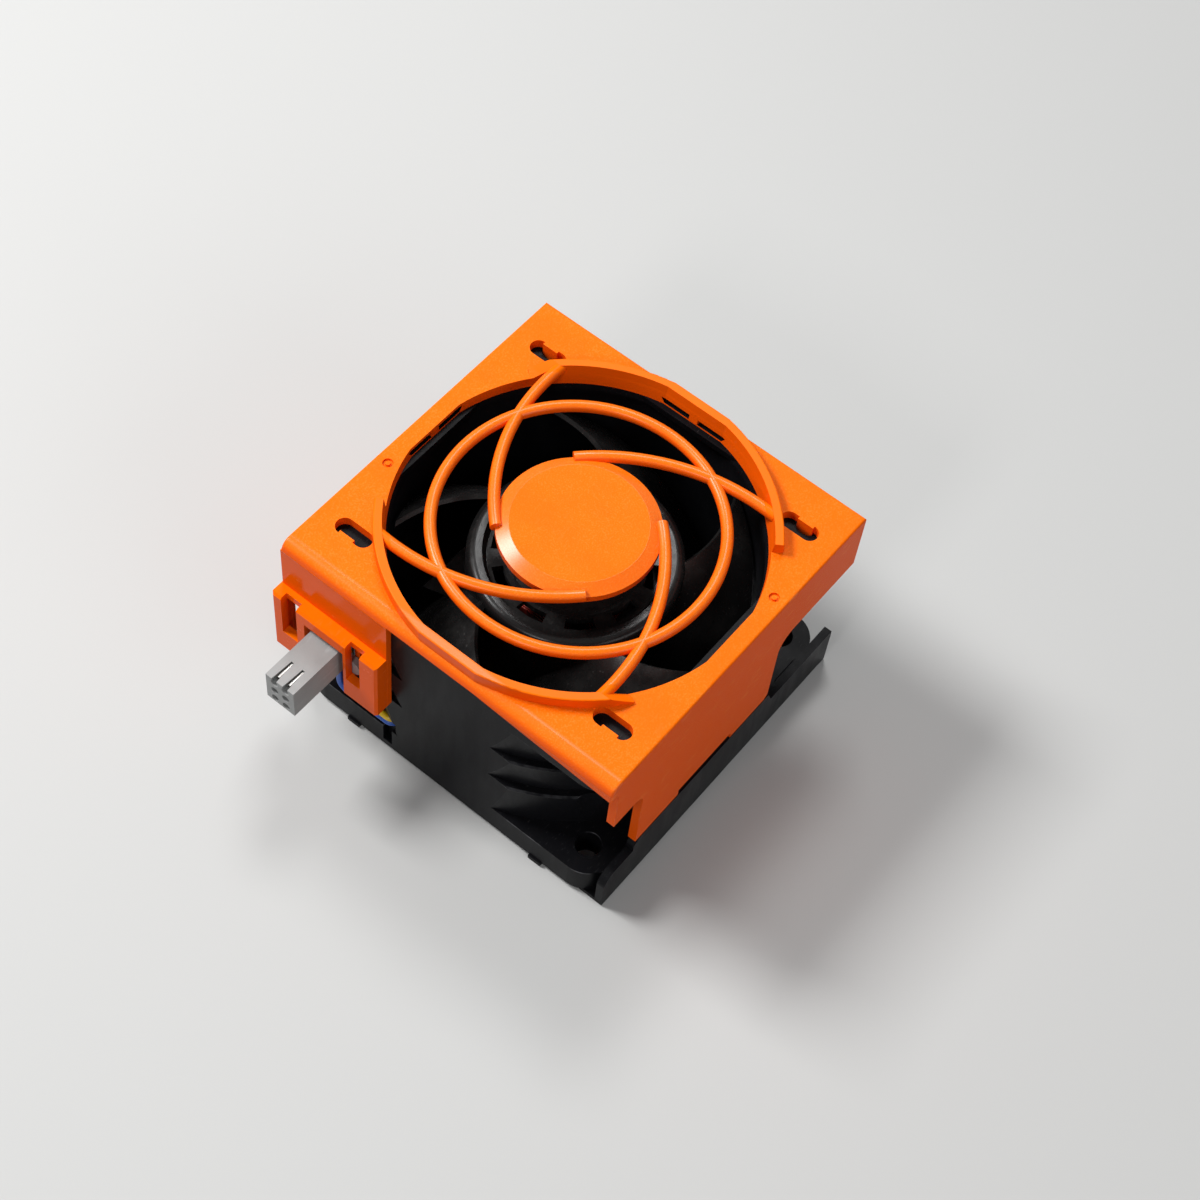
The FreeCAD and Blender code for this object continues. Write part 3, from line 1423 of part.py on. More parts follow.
def rounded_path(points, radii):
    """straight runs joined by tangent arcs"""
    edges = []
    last = points[0]
    for i in range(1, len(points) - 1):
        back = points[i - 1].sub(points[i]).normalize()
        ahead = points[i + 1].sub(points[i]).normalize()
        half = back.getAngle(ahead) / 2
        reach = radii[i - 1] / math.tan(half)
        begin = points[i].add(Vector(back).multiply(reach))
        finish = points[i].add(Vector(ahead).multiply(reach))
        bisector = back.add(ahead).normalize()
        centre = points[i].add(Vector(bisector).multiply(radii[i - 1] / math.sin(half)))
        middle = centre.sub(Vector(bisector).multiply(radii[i - 1]))
        edges.append(Part.LineSegment(last, begin).toShape())
        edges.append(Part.Arc(begin, middle, finish).toShape())
        last = finish
    edges.append(Part.LineSegment(last, points[-1]).toShape())
    return Part.Wire(edges)


def lead_route(side, level):
    """from the board, over a vane, through the barrel, up the corner and into the plug"""
    angle = size("lead_angle")
    out = polar(1, angle)
    beside = Vector(-out.y, out.x, 0).multiply((0.5 if side else -0.5) * size("lead_pitch"))
    height = total(LOW_FLANGE) + size("lead") + size("lead_rise") + level * size("lead_pitch")
    row = -size("lead_row") - side * size("lead_pitch")
    reach = (row - beside.y) / out.y
    x, z = plug_cavity_of(side, level)
    back = -size("plug_front") + size("contact_inset") + size("contact_length")
    points = [
        out.multiply(size("lead_pad") - size("lead_pad_step") * level).add(beside),
        polar(reach, angle).add(beside),
        Vector(x, row, 0)]
    for point in points:
        point.z = height
    return points + [Vector(x, row, z), Vector(x, back, z)]


def leads():
    for label, side, level in LEADS:
        points = lead_route(side, level)
        last = "lead_outer_arc" if side else "lead_inner_arc"
        path = rounded_path(points, [size("lead_wall_arc"), size("lead_rise_arc"), size(last)])
        start = points[1].sub(points[0]).normalize()
        section = Part.Wire(Part.Circle(points[0], start, size("lead")).toShape())
        tube = path.makePipeShell([section], True, True)
        print("%s is %.1f mm long" % (label, path.Length))
        keep(free_shape(label, tube), label)


rear_tray()
fan_frame()
motor_base()
bearing_tube()
ball_bearing("rear_bearing", REAR_BEARING)
ball_bearing("front_bearing", FRONT_BEARING)
shaft()
retaining_clip()
preload_spring()
stator_core()
stator_insulator()
stator_windings()
circuit_board()
board_components()
rotor_magnet()
rotor_yoke()
impeller()
shroud()
plug_housing()
plug_contacts()
leads()
doc.recompute()

for item in doc.Objects:
    if "Invalid" in item.State or "Error" in item.State:
        raise ValueError("%s (%s) is %s" % (item.Name, item.Label, item.State))
for item in parts:
    if item.Shape.isNull() or not item.Shape.isValid():
        raise ValueError("%s has no valid shape" % item.Label)

os.makedirs("parts", exist_ok=True)
for item in parts:
    item.Shape.exportStep(os.path.join("parts", item.Label + ".step"))
    print("%-18s solids %2d volume %9.2f" % (item.Label, len(item.Shape.Solids), item.Shape.Volume))
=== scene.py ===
import json
import math

import bmesh
import bpy
from mathutils import Matrix, Vector


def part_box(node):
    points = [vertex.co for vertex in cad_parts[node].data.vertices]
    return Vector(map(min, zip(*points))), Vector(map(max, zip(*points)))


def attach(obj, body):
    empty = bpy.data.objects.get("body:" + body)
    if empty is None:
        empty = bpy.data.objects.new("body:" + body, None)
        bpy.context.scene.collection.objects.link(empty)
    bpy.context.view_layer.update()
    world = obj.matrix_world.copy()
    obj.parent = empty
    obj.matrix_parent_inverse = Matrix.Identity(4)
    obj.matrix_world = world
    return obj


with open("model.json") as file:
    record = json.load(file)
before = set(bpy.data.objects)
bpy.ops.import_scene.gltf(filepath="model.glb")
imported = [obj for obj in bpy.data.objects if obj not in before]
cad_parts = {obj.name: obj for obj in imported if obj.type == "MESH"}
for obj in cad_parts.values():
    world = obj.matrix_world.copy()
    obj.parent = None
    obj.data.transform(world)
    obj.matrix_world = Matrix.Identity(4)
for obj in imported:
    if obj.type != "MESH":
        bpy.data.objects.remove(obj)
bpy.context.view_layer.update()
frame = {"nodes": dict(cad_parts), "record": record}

MM = 0.001


# Camera: where the photograph was taken from, in the part's own frame

CAMERA_AZIMUTH = 32.356
CAMERA_ELEVATION = 57.427
CAMERA_ROLL = 7.634
CAMERA_DISTANCE = 362.651 * MM
CAMERA_TARGET = Vector((3.330, 3.222, 20.385)) * MM
FOCAL_PIXELS = 2310.54
FRAME_PIXELS = 1200
SENSOR = 36.0


def photograph_camera():
    around = math.radians(CAMERA_AZIMUTH)
    above = math.radians(CAMERA_ELEVATION)
    roll = math.radians(CAMERA_ROLL)
    back = Vector((math.sin(around) * math.cos(above), -math.cos(around) * math.cos(above), math.sin(above)))
    level = Vector((0, 0, 1)).cross(back).normalized()
    upward = back.cross(level)
    right = level * math.cos(roll) + upward * math.sin(roll)
    up = upward * math.cos(roll) - level * math.sin(roll)
    data = bpy.data.cameras.new("photograph_camera")
    data.sensor_width = SENSOR
    data.lens = FOCAL_PIXELS * SENSOR / FRAME_PIXELS
    data.clip_start = 10 * MM
    camera = bpy.data.objects.new("photograph_camera", data)
    bpy.context.scene.collection.objects.link(camera)
    turn = Matrix((right, up, back)).transposed().to_4x4()
    camera.matrix_world = Matrix.Translation(CAMERA_TARGET + back * CAMERA_DISTANCE) @ turn
    bpy.context.scene.camera = camera


photograph_camera()
bpy.context.scene.view_settings.view_transform = "Standard"


# Sums and masks inside a material; a mask is 1 where something holds and 0 where it doesn't


def math_node(tree, operation, first, second=None, clamp=False):
    made = tree.nodes.new("ShaderNodeMath")
    made.operation = operation
    made.use_clamp = clamp
    for socket, value in zip(made.inputs, (first, second)):
        if value is None:
            continue
        if isinstance(value, (int, float)):
            socket.default_value = value
        else:
            tree.links.new(value, socket)
    return made.outputs[0]


def both(tree, first, second):
    """high where both masks are high"""
    return math_node(tree, "MULTIPLY", first, second)


def either(tree, first, second):
    """high where one mask or the other is high"""
    return math_node(tree, "MAXIMUM", first, second)


def without(tree, mask):
    """high where the mask is low"""
    return math_node(tree, "SUBTRACT", 1.0, mask)


def fainter(tree, mask, share):
    """the mask at a share of its strength"""
    return math_node(tree, "MULTIPLY", mask, share)


def ramp(tree, value, low, high):
    """0 below low, 1 above high, smooth between"""
    made = tree.nodes.new("ShaderNodeMapRange")
    made.interpolation_type = "SMOOTHSTEP"
    tree.links.new(value, made.inputs["Value"])
    made.inputs["From Min"].default_value = low
    made.inputs["From Max"].default_value = high
    return made.outputs["Result"]


def between(tree, value, low, high, soft):
    """1 where a value lies between two bounds, with soft ends"""
    above = ramp(tree, value, low - soft, low + soft)
    return both(tree, above, without(tree, ramp(tree, value, high - soft, high + soft)))


def facing_up(tree):
    """how far a face looks up: 1 straight up, 0 upright, -1 straight down"""
    surface = tree.nodes.new("ShaderNodeNewGeometry")
    parts = tree.nodes.new("ShaderNodeSeparateXYZ")
    tree.links.new(surface.outputs["Normal"], parts.inputs[0])
    return parts.outputs["Z"]


def upright(tree):
    """1 on upright and downward faces, 0 on faces that look up"""
    return without(tree, ramp(tree, facing_up(tree), 0.35, 0.85))


def along(tree, place):
    """x, y, z and the distance from the fan's axis, all in metres"""
    parts = tree.nodes.new("ShaderNodeSeparateXYZ")
    tree.links.new(place, parts.inputs[0])
    x, y, z = parts.outputs
    square = math_node(tree, "ADD", math_node(tree, "MULTIPLY", x, x), math_node(tree, "MULTIPLY", y, y))
    return x, y, z, math_node(tree, "SQRT", square)


def waves(tree, value, pitch):
    """a sine between -1 and 1 that repeats once every pitch"""
    return math_node(tree, "SINE", math_node(tree, "MULTIPLY", value, 2 * math.pi / pitch))


def raised(tree, wave):
    """a sine brought between 0 and 1"""
    return math_node(tree, "MULTIPLY", math_node(tree, "ADD", wave, 1.0), 0.5)


def millimetres(pair):
    return [value * MM for value in pair]


# Studio: a pale floor, a pale surround and soft lamps

FLOOR_SIZE = 6.0
FLOOR_DROP = 0.2 * MM
FLOOR_COLOUR = (0.54, 0.54, 0.53, 1)
FLOOR_BOUNCE = (0.30, 0.30, 0.295, 1)
BACKDROP_STRENGTH = 0.9
ROOM_COLOUR = (0.92, 0.94, 1.0, 1)
ROOM_STRENGTH = 0.14
LAMP_AIM = Vector((0, 0, 0.02))
LAMPS = (
    # name, place in metres, size in metres, watts
    ("soft_box_left", (-0.49, -0.14, 0.58), 0.22, 5.8),
    ("soft_box_behind", (-0.21, 0.32, 0.66), 0.20, 2.0),
    ("fill_front", (0.06, -0.60, 0.47), 0.15, 1.0),
    ("fill_right", (0.75, -0.10, 0.35), 0.50, 1.7),
)


def looked_at(tree):
    """1 for rays that show a place to the viewer, straight, in a gloss or through glass"""
    seen = tree.nodes.new("ShaderNodeLightPath")
    direct = either(tree, seen.outputs["Is Camera Ray"], seen.outputs["Is Glossy Ray"])
    return either(tree, direct, seen.outputs["Is Transmission Ray"])


def pale_floor():
    """paper that shows one colour and lights the module from below as a darker one"""
    bpy.ops.mesh.primitive_plane_add(size=FLOOR_SIZE, location=(0, 0, -FLOOR_DROP))
    floor = bpy.context.object
    floor.name = "studio_floor"
    material = bpy.data.materials.new("studio_floor")
    material.use_nodes = True
    paper = material.node_tree
    shader = paper.nodes["Principled BSDF"]
    shader.inputs["Roughness"].default_value = 0.9
    colour = paper.nodes.new("ShaderNodeMix")
    colour.data_type = "RGBA"
    colour.inputs[6].default_value = FLOOR_BOUNCE
    colour.inputs[7].default_value = FLOOR_COLOUR
    paper.links.new(looked_at(paper), colour.inputs[0])
    paper.links.new(colour.outputs[2], shader.inputs["Base Color"])
    floor.data.materials.append(material)


def soft_lamp(name, place, width, watts):
    data = bpy.data.lights.new(name, "AREA")
    data.shape = "SQUARE"
    data.size = width
    data.energy = watts
    lamp = bpy.data.objects.new(name, data)
    bpy.context.scene.collection.objects.link(lamp)
    lamp.location = place
    aim = (LAMP_AIM - lamp.location).normalized()
    lamp.rotation_euler = aim.to_track_quat("-Z", "Y").to_euler()


def pale_surround():
    """a backdrop as pale as the floor, over a dim room that lights the module"""
    world = bpy.data.worlds.new("studio_surround")
    bpy.context.scene.world = world
    world.use_nodes = True
    tree = world.node_tree
    tree.nodes.clear()
    room = tree.nodes.new("ShaderNodeBackground")
    room.inputs["Color"].default_value = ROOM_COLOUR
    room.inputs["Strength"].default_value = ROOM_STRENGTH
    backdrop = tree.nodes.new("ShaderNodeBackground")
    backdrop.inputs["Color"].default_value = FLOOR_COLOUR
    backdrop.inputs["Strength"].default_value = BACKDROP_STRENGTH
    mix = tree.nodes.new("ShaderNodeMixShader")
    output = tree.nodes.new("ShaderNodeOutputWorld")
    tree.links.new(looked_at(tree), mix.inputs[0])
    tree.links.new(room.outputs[0], mix.inputs[1])
    tree.links.new(backdrop.outputs[0], mix.inputs[2])
    tree.links.new(mix.outputs[0], output.inputs["Surface"])


pale_floor()
for lamp in LAMPS:
    soft_lamp(*lamp)
pale_surround()


# Shared surface effects, each built once and placed in the finishes that show it


def effect(name, inputs, outputs):
    """an empty effect with named inputs and outputs"""
    made = bpy.data.node_groups.new(name, "ShaderNodeTree")
    for label, kind, value in inputs:
        socket = made.interface.new_socket(label, in_out="INPUT", socket_type="NodeSocket" + kind)
        if value is not None:
            socket.default_value = value
    for label, kind in outputs:
        made.interface.new_socket(label, in_out="OUTPUT", socket_type="NodeSocket" + kind)
    return made, made.nodes.new("NodeGroupInput"), made.nodes.new("NodeGroupOutput")


def scaled(tree, vector, factor):
    made = tree.nodes.new("ShaderNodeVectorMath")
    made.operation = "SCALE"
    tree.links.new(vector, made.inputs[0])
    tree.links.new(factor, made.inputs["Scale"])
    return made.outputs[0]


def noise(tree, vector, size, detail=2.0, roughness=0.5):
    """noise whose grains are about size across, in metres"""
    made = tree.nodes.new("ShaderNodeTexNoise")
    made.inputs["Scale"].default_value = 1.0 / size
    made.inputs["Detail"].default_value = detail
    made.inputs["Roughness"].default_value = roughness
    tree.links.new(vector, made.inputs["Vector"])
    return made.outputs["Fac"]


def laid(tree, vector, turn, stretch):
    """the place turned and squeezed, so that a pattern on it lies one way"""
    made = tree.nodes.new("ShaderNodeMapping")
    made.inputs["Rotation"].default_value = turn
    made.inputs["Scale"].default_value = stretch
    tree.links.new(vector, made.inputs["Vector"])
    return made.outputs[0]


def spark_texture():
    """the fine grain of a spark-eroded mould, with a mask of its high points for a painted glint"""
    tree, given, result = effect(
        "spark_texture",
        inputs=(("Place", "Vector", None), ("Grain", "Float", 0.25)),
        outputs=(("Height", "Float"), ("Painted_glint", "Float")))
    grain = math_node(tree, "MULTIPLY", given.outputs["Grain"], MM)
    place = scaled(tree, given.outputs["Place"], math_node(tree, "DIVIDE", 1.0, grain))
    fine = noise(tree, place, 1.0, 3.0, 0.6)
    cells = tree.nodes.new("ShaderNodeTexVoronoi")
    cells.feature = "SMOOTH_F1"
    cells.inputs["Scale"].default_value = 0.8
    cells.inputs["Smoothness"].default_value = 0.6
    tree.links.new(place, cells.inputs["Vector"])
    height = math_node(tree, "ADD", fine, math_node(tree, "MULTIPLY", cells.outputs["Distance"], 0.6))
    tree.links.new(height, result.inputs["Height"])
    # the grain's high points, as the mask for a painted glint
    tree.links.new(ramp(tree, height, 0.78, 1.0), result.inputs["Painted_glint"])
    return tree


def handling_scuffs():
    """short pale rubs that lie mostly one way"""
    tree, given, result = effect(
        "handling_scuffs",
        inputs=(("Place", "Vector", None), ("Amount", "Float", 0.5)),
        outputs=(("Mask", "Float"),))
    place = given.outputs["Place"]
    masks = []
    for turn, size, edge in (((0.3, 0.2, 0.5), 1.1, 0.64), ((0.9, 0.5, -0.4), 0.7, 0.67)):
        streaks = noise(tree, laid(tree, place, turn, (1.0, 0.28, 1.0)), size * MM, 4.0, 0.62)
        masks.append(ramp(tree, streaks, edge - 0.07, edge + 0.03))
    patches = ramp(tree, noise(tree, place, 9 * MM), 0.44, 0.62)
    worn = both(tree, either(tree, *masks), patches)
    mask = math_node(tree, "MULTIPLY", worn, given.outputs["Amount"], clamp=True)
    tree.links.new(mask, result.inputs["Mask"])
    return tree


def settled_dust():
    """specks of dust and lint, thickest where the surface faces up"""
    tree, given, result = effect(
        "settled_dust",
        inputs=(("Place", "Vector", None), ("Amount", "Float", 0.5)),
        outputs=(("Mask", "Float"),))
    place = given.outputs["Place"]
    specks = tree.nodes.new("ShaderNodeTexVoronoi")
    specks.inputs["Scale"].default_value = 1.0 / (1.3 * MM)
    tree.links.new(place, specks.inputs["Vector"])
    dots = without(tree, ramp(tree, specks.outputs["Distance"], 0.05, 0.12))
    film = fainter(tree, ramp(tree, noise(tree, place, 6 * MM, 5.0, 0.7), 0.45, 0.75), 0.35)
    lying = both(tree, either(tree, dots, film), ramp(tree, facing_up(tree), 0.2, 0.95))
    mask = math_node(tree, "MULTIPLY", lying, given.outputs["Amount"], clamp=True)
    tree.links.new(mask, result.inputs["Mask"])
    return tree


def glass_filled_flow():
    """faint flow marks and short glass fibres at the skin of a filled plastic"""
    tree, given, result = effect(
        "glass_filled_flow",
        inputs=(("Place", "Vector", None),),
        outputs=(("Height", "Float"), ("Sheen", "Float"), ("Fibre", "Float")))
    place = given.outputs["Place"]
    flow = noise(tree, laid(tree, place, (0, 0, 0), (1.0, 1.0, 0.22)), 2.2 * MM, 5.0, 0.6)
    fine = noise(tree, place, 0.12 * MM)
    height = math_node(tree, "ADD", fainter(tree, flow, 0.5), fainter(tree, fine, 0.5))
    tree.links.new(height, result.inputs["Height"])
    tree.links.new(ramp(tree, flow, 0.35, 0.7), result.inputs["Sheen"])
    fibres = noise(tree, laid(tree, place, (0.4, 0.7, 0.2), (1.0, 0.15, 1.0)), 0.18 * MM, 1.0)
    tree.links.new(ramp(tree, fibres, 0.66, 0.78), result.inputs["Fibre"])
    return tree


SPARK_TEXTURE = spark_texture()
HANDLING_SCUFFS = handling_scuffs()
SETTLED_DUST = settled_dust()
GLASS_FILLED_FLOW = glass_filled_flow()


# Finishes


class Finish:
    """one material under construction: its tree, its shader and its object coordinates"""

    def __init__(self, name, colour, roughness, metallic=0.0):
        self.material = bpy.data.materials.new(name)
        self.material.use_nodes = True
        self.tree = self.material.node_tree
        self.shader = self.tree.nodes["Principled BSDF"]
        self.shader.inputs["Base Color"].default_value = (*colour, 1)
        self.shader.inputs["Roughness"].default_value = roughness
        self.shader.inputs["Metallic"].default_value = metallic
        self.place = self.tree.nodes.new("ShaderNodeTexCoord").outputs["Object"]
        self.colour = tuple(colour)
        self.roughness = roughness
        self.colour_now = None
        self.roughness_now = None

    def use(self, group, **values):
        """place a shared effect"""
        made = self.tree.nodes.new("ShaderNodeGroup")
        made.node_tree = group
        self.tree.links.new(self.place, made.inputs["Place"])
        for label, value in values.items():
            made.inputs[label].default_value = value
        return made

    def tint(self, mask, colour, strength=1.0):
        """mix another colour in where the mask is high"""
        mix = self.tree.nodes.new("ShaderNodeMix")
        mix.data_type = "RGBA"
        share = mask if strength == 1.0 else fainter(self.tree, mask, strength)
        self.tree.links.new(share, mix.inputs[0])
        if self.colour_now is None:
            mix.inputs[6].default_value = (*self.colour, 1)
        else:
            self.tree.links.new(self.colour_now, mix.inputs[6])
        mix.inputs[7].default_value = (*colour, 1)
        self.colour_now = mix.outputs[2]
        self.tree.links.new(self.colour_now, self.shader.inputs["Base Color"])

    def polish(self, mask, roughness):
        """move the roughness to another value where the mask is high"""
        mix = self.tree.nodes.new("ShaderNodeMix")
        self.tree.links.new(mask, mix.inputs[0])
        if self.roughness_now is None:
            mix.inputs[2].default_value = self.roughness
        else:
            self.tree.links.new(self.roughness_now, mix.inputs[2])
        mix.inputs[3].default_value = roughness
        self.roughness_now = mix.outputs[0]
        self.tree.links.new(self.roughness_now, self.shader.inputs["Roughness"])

    def relief(self, height, depth, strength):
        """raise the surface by a height map; depth is in millimetres"""
        bump = self.tree.nodes.new("ShaderNodeBump")
        bump.inputs["Strength"].default_value = strength
        bump.inputs["Distance"].default_value = depth * MM
        self.tree.links.new(height, bump.inputs["Height"])
        self.tree.links.new(bump.outputs[0], self.shader.inputs["Normal"])

    def coat(self, mask):
        """a clear gloss where the mask is high"""
        self.tree.links.new(mask, self.shader.inputs["Coat Weight"])

    def set(self, **values):
        for label, value in values.items():
            self.shader.inputs[label.replace("_", " ")].default_value = value


def darker(colour, share):
    return tuple(value * share for value in colour)


# Shroud: places in millimetres where its finish changes, a start and an end; REACH is from the fan's axis

DISC_BEVEL_REACH = (10.6, 12.9)
DISC_BEVEL_FOOT = (40.0, 40.3)
ROD_REACH = (12.7, 28.2)
ROD_FOOT = (40.5, 40.7)
RIM_REACH = (28.3, 30.9)
RIM_FOOT = (40.6, 41.2)
FRONT_WALL = (-31.17, -30.9)
FRONT_WALL_TOP = (38.2, 38.8)
FRONT_LIP = (-31.3, -28.9)
FRONT_LIP_FOOT = (38.6, 39.2)
RIGHT_SKIRT = (31.2, 31.45)

SHROUD_ORANGE = (0.96, 0.165, 0.001)
SHROUD_CLOUD = (0.93, 0.145, 0.001)
# painted shade colour for the upright and downward faces
SHROUD_PAINTED_SHADE = (0.88, 0.102, 0.001)
# painted glint colour for the grain's high points
SHROUD_PAINTED_GLINT = (1.0, 0.30, 0.05)
SHROUD_SCUFF = (1.0, 0.36, 0.12)


def orange_shroud():
    """spark textured, with polished rims, rods and front wall, a painted glint on its grain and painted shade on its
    upright faces
    """
    finish = Finish("orange_shroud", SHROUD_ORANGE, 0.44)
    tree = finish.tree
    x, y, z, radius = along(tree, finish.place)

    def raised_ring(reach, foot):
        ring = between(tree, radius, *millimetres(reach), 0.1 * MM)
        return both(tree, ring, ramp(tree, z, *millimetres(foot)))

    rims = raised_ring(RIM_REACH, RIM_FOOT)
    rods = raised_ring(ROD_REACH, ROD_FOOT)
    bevel = raised_ring(DISC_BEVEL_REACH, DISC_BEVEL_FOOT)
    front = without(tree, ramp(tree, y, *millimetres(FRONT_WALL)))
    wall = both(tree, front, without(tree, ramp(tree, z, *millimetres(FRONT_WALL_TOP))))
    lip = both(tree, between(tree, y, *millimetres(FRONT_LIP), 0.3 * MM), ramp(tree, z, *millimetres(FRONT_LIP_FOOT)))
    side = ramp(tree, x, *millimetres(RIGHT_SKIRT))
    textured = without(tree, either(tree, rims, wall))

    spark = finish.use(SPARK_TEXTURE, Grain=0.2)
    # painted glint: the grain's high points are tinted pale, standing in for light sparkling on them
    finish.tint(both(tree, spark.outputs["Painted_glint"], textured), SHROUD_PAINTED_GLINT, 0.3)
    finish.tint(ramp(tree, noise(tree, finish.place, 7 * MM, 3.0), 0.4, 0.7), SHROUD_CLOUD, 0.5)
    # painted shade: upright and downward faces are darker and redder, as they get less light than the faces that look
    # up
    finish.tint(upright(tree), SHROUD_PAINTED_SHADE)
    scuffs = finish.use(HANDLING_SCUFFS, Amount=1.0).outputs["Mask"]
    worn = math_node(tree, "ADD", fainter(tree, side, 0.22), 0.05)
    finish.tint(both(tree, scuffs, worn), SHROUD_SCUFF)
    finish.polish(rims, 0.34)
    finish.polish(wall, 0.13)
    finish.polish(rods, 0.36)
    finish.polish(fainter(tree, scuffs, 0.4), 0.6)
    skin = either(tree, fainter(tree, rods, 0.55), bevel)
    skin = either(tree, skin, fainter(tree, lip, 0.4))
    finish.coat(fainter(tree, skin, 0.7))
    finish.relief(both(tree, spark.outputs["Height"], textured), 0.045, 0.9)
    finish.set(Specular_IOR_Level=0.06, Coat_Roughness=0.25)
    return finish


# Black plastics, filled with glass

FIBRE_GREY = (0.08, 0.08, 0.08)
DUST_GREY = (0.30, 0.29, 0.27)
# painted highlight colour for the frame's edges
EDGE_HIGHLIGHT_GREY = (0.16, 0.16, 0.17)
FRAME_EDGES = (6.3, 16.3, 24.5, 33.3)
FRAME_OUTSIDE = (32.0, 32.25)


def black_filled_plastic(name, colour, roughness, dust, sheen, specular=0.25):
    finish = Finish(name, colour, roughness)
    flow = finish.use(GLASS_FILLED_FLOW)
    # painted sheen: the colour is lightened on the flow marks, where they are also made glossier
    finish.tint(flow.outputs["Sheen"], tuple(value * 1.5 for value in colour), 0.6)
    finish.tint(flow.outputs["Fibre"], FIBRE_GREY, 0.3)
    finish.polish(flow.outputs["Sheen"], sheen)
    lint = finish.use(SETTLED_DUST, Amount=dust).outputs["Mask"]
    finish.tint(lint, DUST_GREY, 0.3)
    finish.polish(lint, 0.7)
    finish.relief(flow.outputs["Height"], 0.02, 0.5)
    finish.set(Specular_IOR_Level=specular)
    return finish


def painted_edge_highlights(finish):
    """painted highlights: pale lines just under the frame's edges, on its upright outer faces, where the edges catch
    the light
    """
    tree = finish.tree
    x, y, z, radius = along(tree, finish.place)
    patchy = ramp(tree, noise(tree, finish.place, 2.5 * MM, 4.0, 0.6), 0.38, 0.66)
    lines = None
    for height in FRAME_EDGES:
        line = between(tree, z, (height - 0.32) * MM, (height + 0.05) * MM, 0.1 * MM)
        lines = line if lines is None else either(tree, lines, line)
    outer = both(tree, ramp(tree, radius, *millimetres(FRAME_OUTSIDE)), upright(tree))
    mask = both(tree, both(tree, lines, outer), patchy)
    # painted highlight along the frame's edges
    finish.tint(mask, EDGE_HIGHLIGHT_GREY, 0.8)
    finish.polish(mask, 0.5)
    return finish


# Plug, metals, coils, leads and the board

PLUG_GREY = (0.30, 0.305, 0.30)
PLUG_SHADE = (0.245, 0.25, 0.245)
PLUG_SCUFF = (0.5, 0.5, 0.5)
SHEET_PITCH = 0.5 * MM
SHEET_GAP = (0.03, 0.03, 0.03)
WIRE_PITCH = 0.36 * MM
# painted shade colour for the grooves between wire turns
WIRE_GROOVE_SHADE = (0.10, 0.008, 0.004)
TRACK_SIZE = 2.2 * MM
TRACK_GREEN = (0.03, 0.22, 0.09)
SOLDER_HEIGHT = (6.15, 6.3)
SOLDER_GREY = (0.55, 0.55, 0.52)
FERRITE_GRAIN = (0.07, 0.07, 0.075)


def grey_plug():
    finish = Finish("grey_plug", PLUG_GREY, 0.5)
    tree = finish.tree
    finish.tint(ramp(tree, noise(tree, finish.place, 3 * MM, 3.0), 0.35, 0.7), PLUG_SHADE, 0.5)
    finish.tint(finish.use(HANDLING_SCUFFS, Amount=0.4).outputs["Mask"], PLUG_SCUFF)
    finish.relief(finish.use(SPARK_TEXTURE, Grain=0.16).outputs["Height"], 0.02, 0.5)
    return finish


def turned_metal(name, colour, roughness, pitch=0.10):
    """fine turning rings about the fan's axis"""
    finish = Finish(name, colour, roughness, 1.0)
    tree = finish.tree
    x, y, z, radius = along(tree, finish.place)
    rings = raised(tree, waves(tree, math_node(tree, "ADD", radius, z), pitch * MM))
    blotch = noise(tree, finish.place, 1.5 * MM, 4.0)
    finish.tint(ramp(tree, blotch, 0.4, 0.7), darker(colour, 0.75), 0.6)
    finish.polish(ramp(tree, blotch, 0.35, 0.75), roughness + 0.15)
    finish.relief(rings, 0.004, 0.5)
    return finish


def stamped_sheets():
    """the core's edge shows the stack of sheets it is made of"""
    finish = Finish("stamped_sheets", (0.30, 0.30, 0.32), 0.38, 1.0)
    tree = finish.tree
    x, y, z, radius = along(tree, finish.place)
    gaps = ramp(tree, waves(tree, z, SHEET_PITCH), 0.75, 0.95)
    finish.tint(gaps, SHEET_GAP)
    finish.polish(gaps, 0.7)
    finish.relief(without(tree, gaps), 0.04, 0.7)
    return finish


def enamelled_wire():
    """turns of lacquered wire, side by side"""
    finish = Finish("enamelled_wire", (0.36, 0.032, 0.02), 0.25, 0.35)
    tree = finish.tree
    x, y, z, radius = along(tree, finish.place)
    turns = raised(tree, waves(tree, radius, WIRE_PITCH))
    # painted shade in the grooves between the turns
    finish.tint(without(tree, ramp(tree, turns, 0.0, 0.35)), WIRE_GROOVE_SHADE)
    finish.relief(turns, 0.03, 0.5)
    finish.set(Coat_Weight=0.6, Coat_Roughness=0.15)
    return finish


def lead_insulation(name, colour):
    """smooth soft plastic with a faint ripple from its strands"""
    finish = Finish(name, colour, 0.36)
    ripple = noise(finish.tree, finish.place, 1.2 * MM, 3.0)
    finish.tint(ramp(finish.tree, ripple, 0.4, 0.7), darker(colour, 0.8), 0.5)
    finish.relief(ripple, 0.03, 0.6)
    return finish


def circuit_laminate():
    """solder mask over copper tracks"""
    finish = Finish("circuit_laminate", (0.015, 0.12, 0.05), 0.3)
    tree = finish.tree
    cells = tree.nodes.new("ShaderNodeTexVoronoi")
    cells.distance = "CHEBYCHEV"
    cells.feature = "F1"
    cells.inputs["Scale"].default_value = 1.0 / TRACK_SIZE
    tree.links.new(finish.place, cells.inputs["Vector"])
    tracks = ramp(tree, cells.outputs["Distance"], 0.42, 0.46)
    finish.tint(tracks, TRACK_GREEN, 0.7)
    finish.relief(tracks, 0.035, 0.8)
    return finish


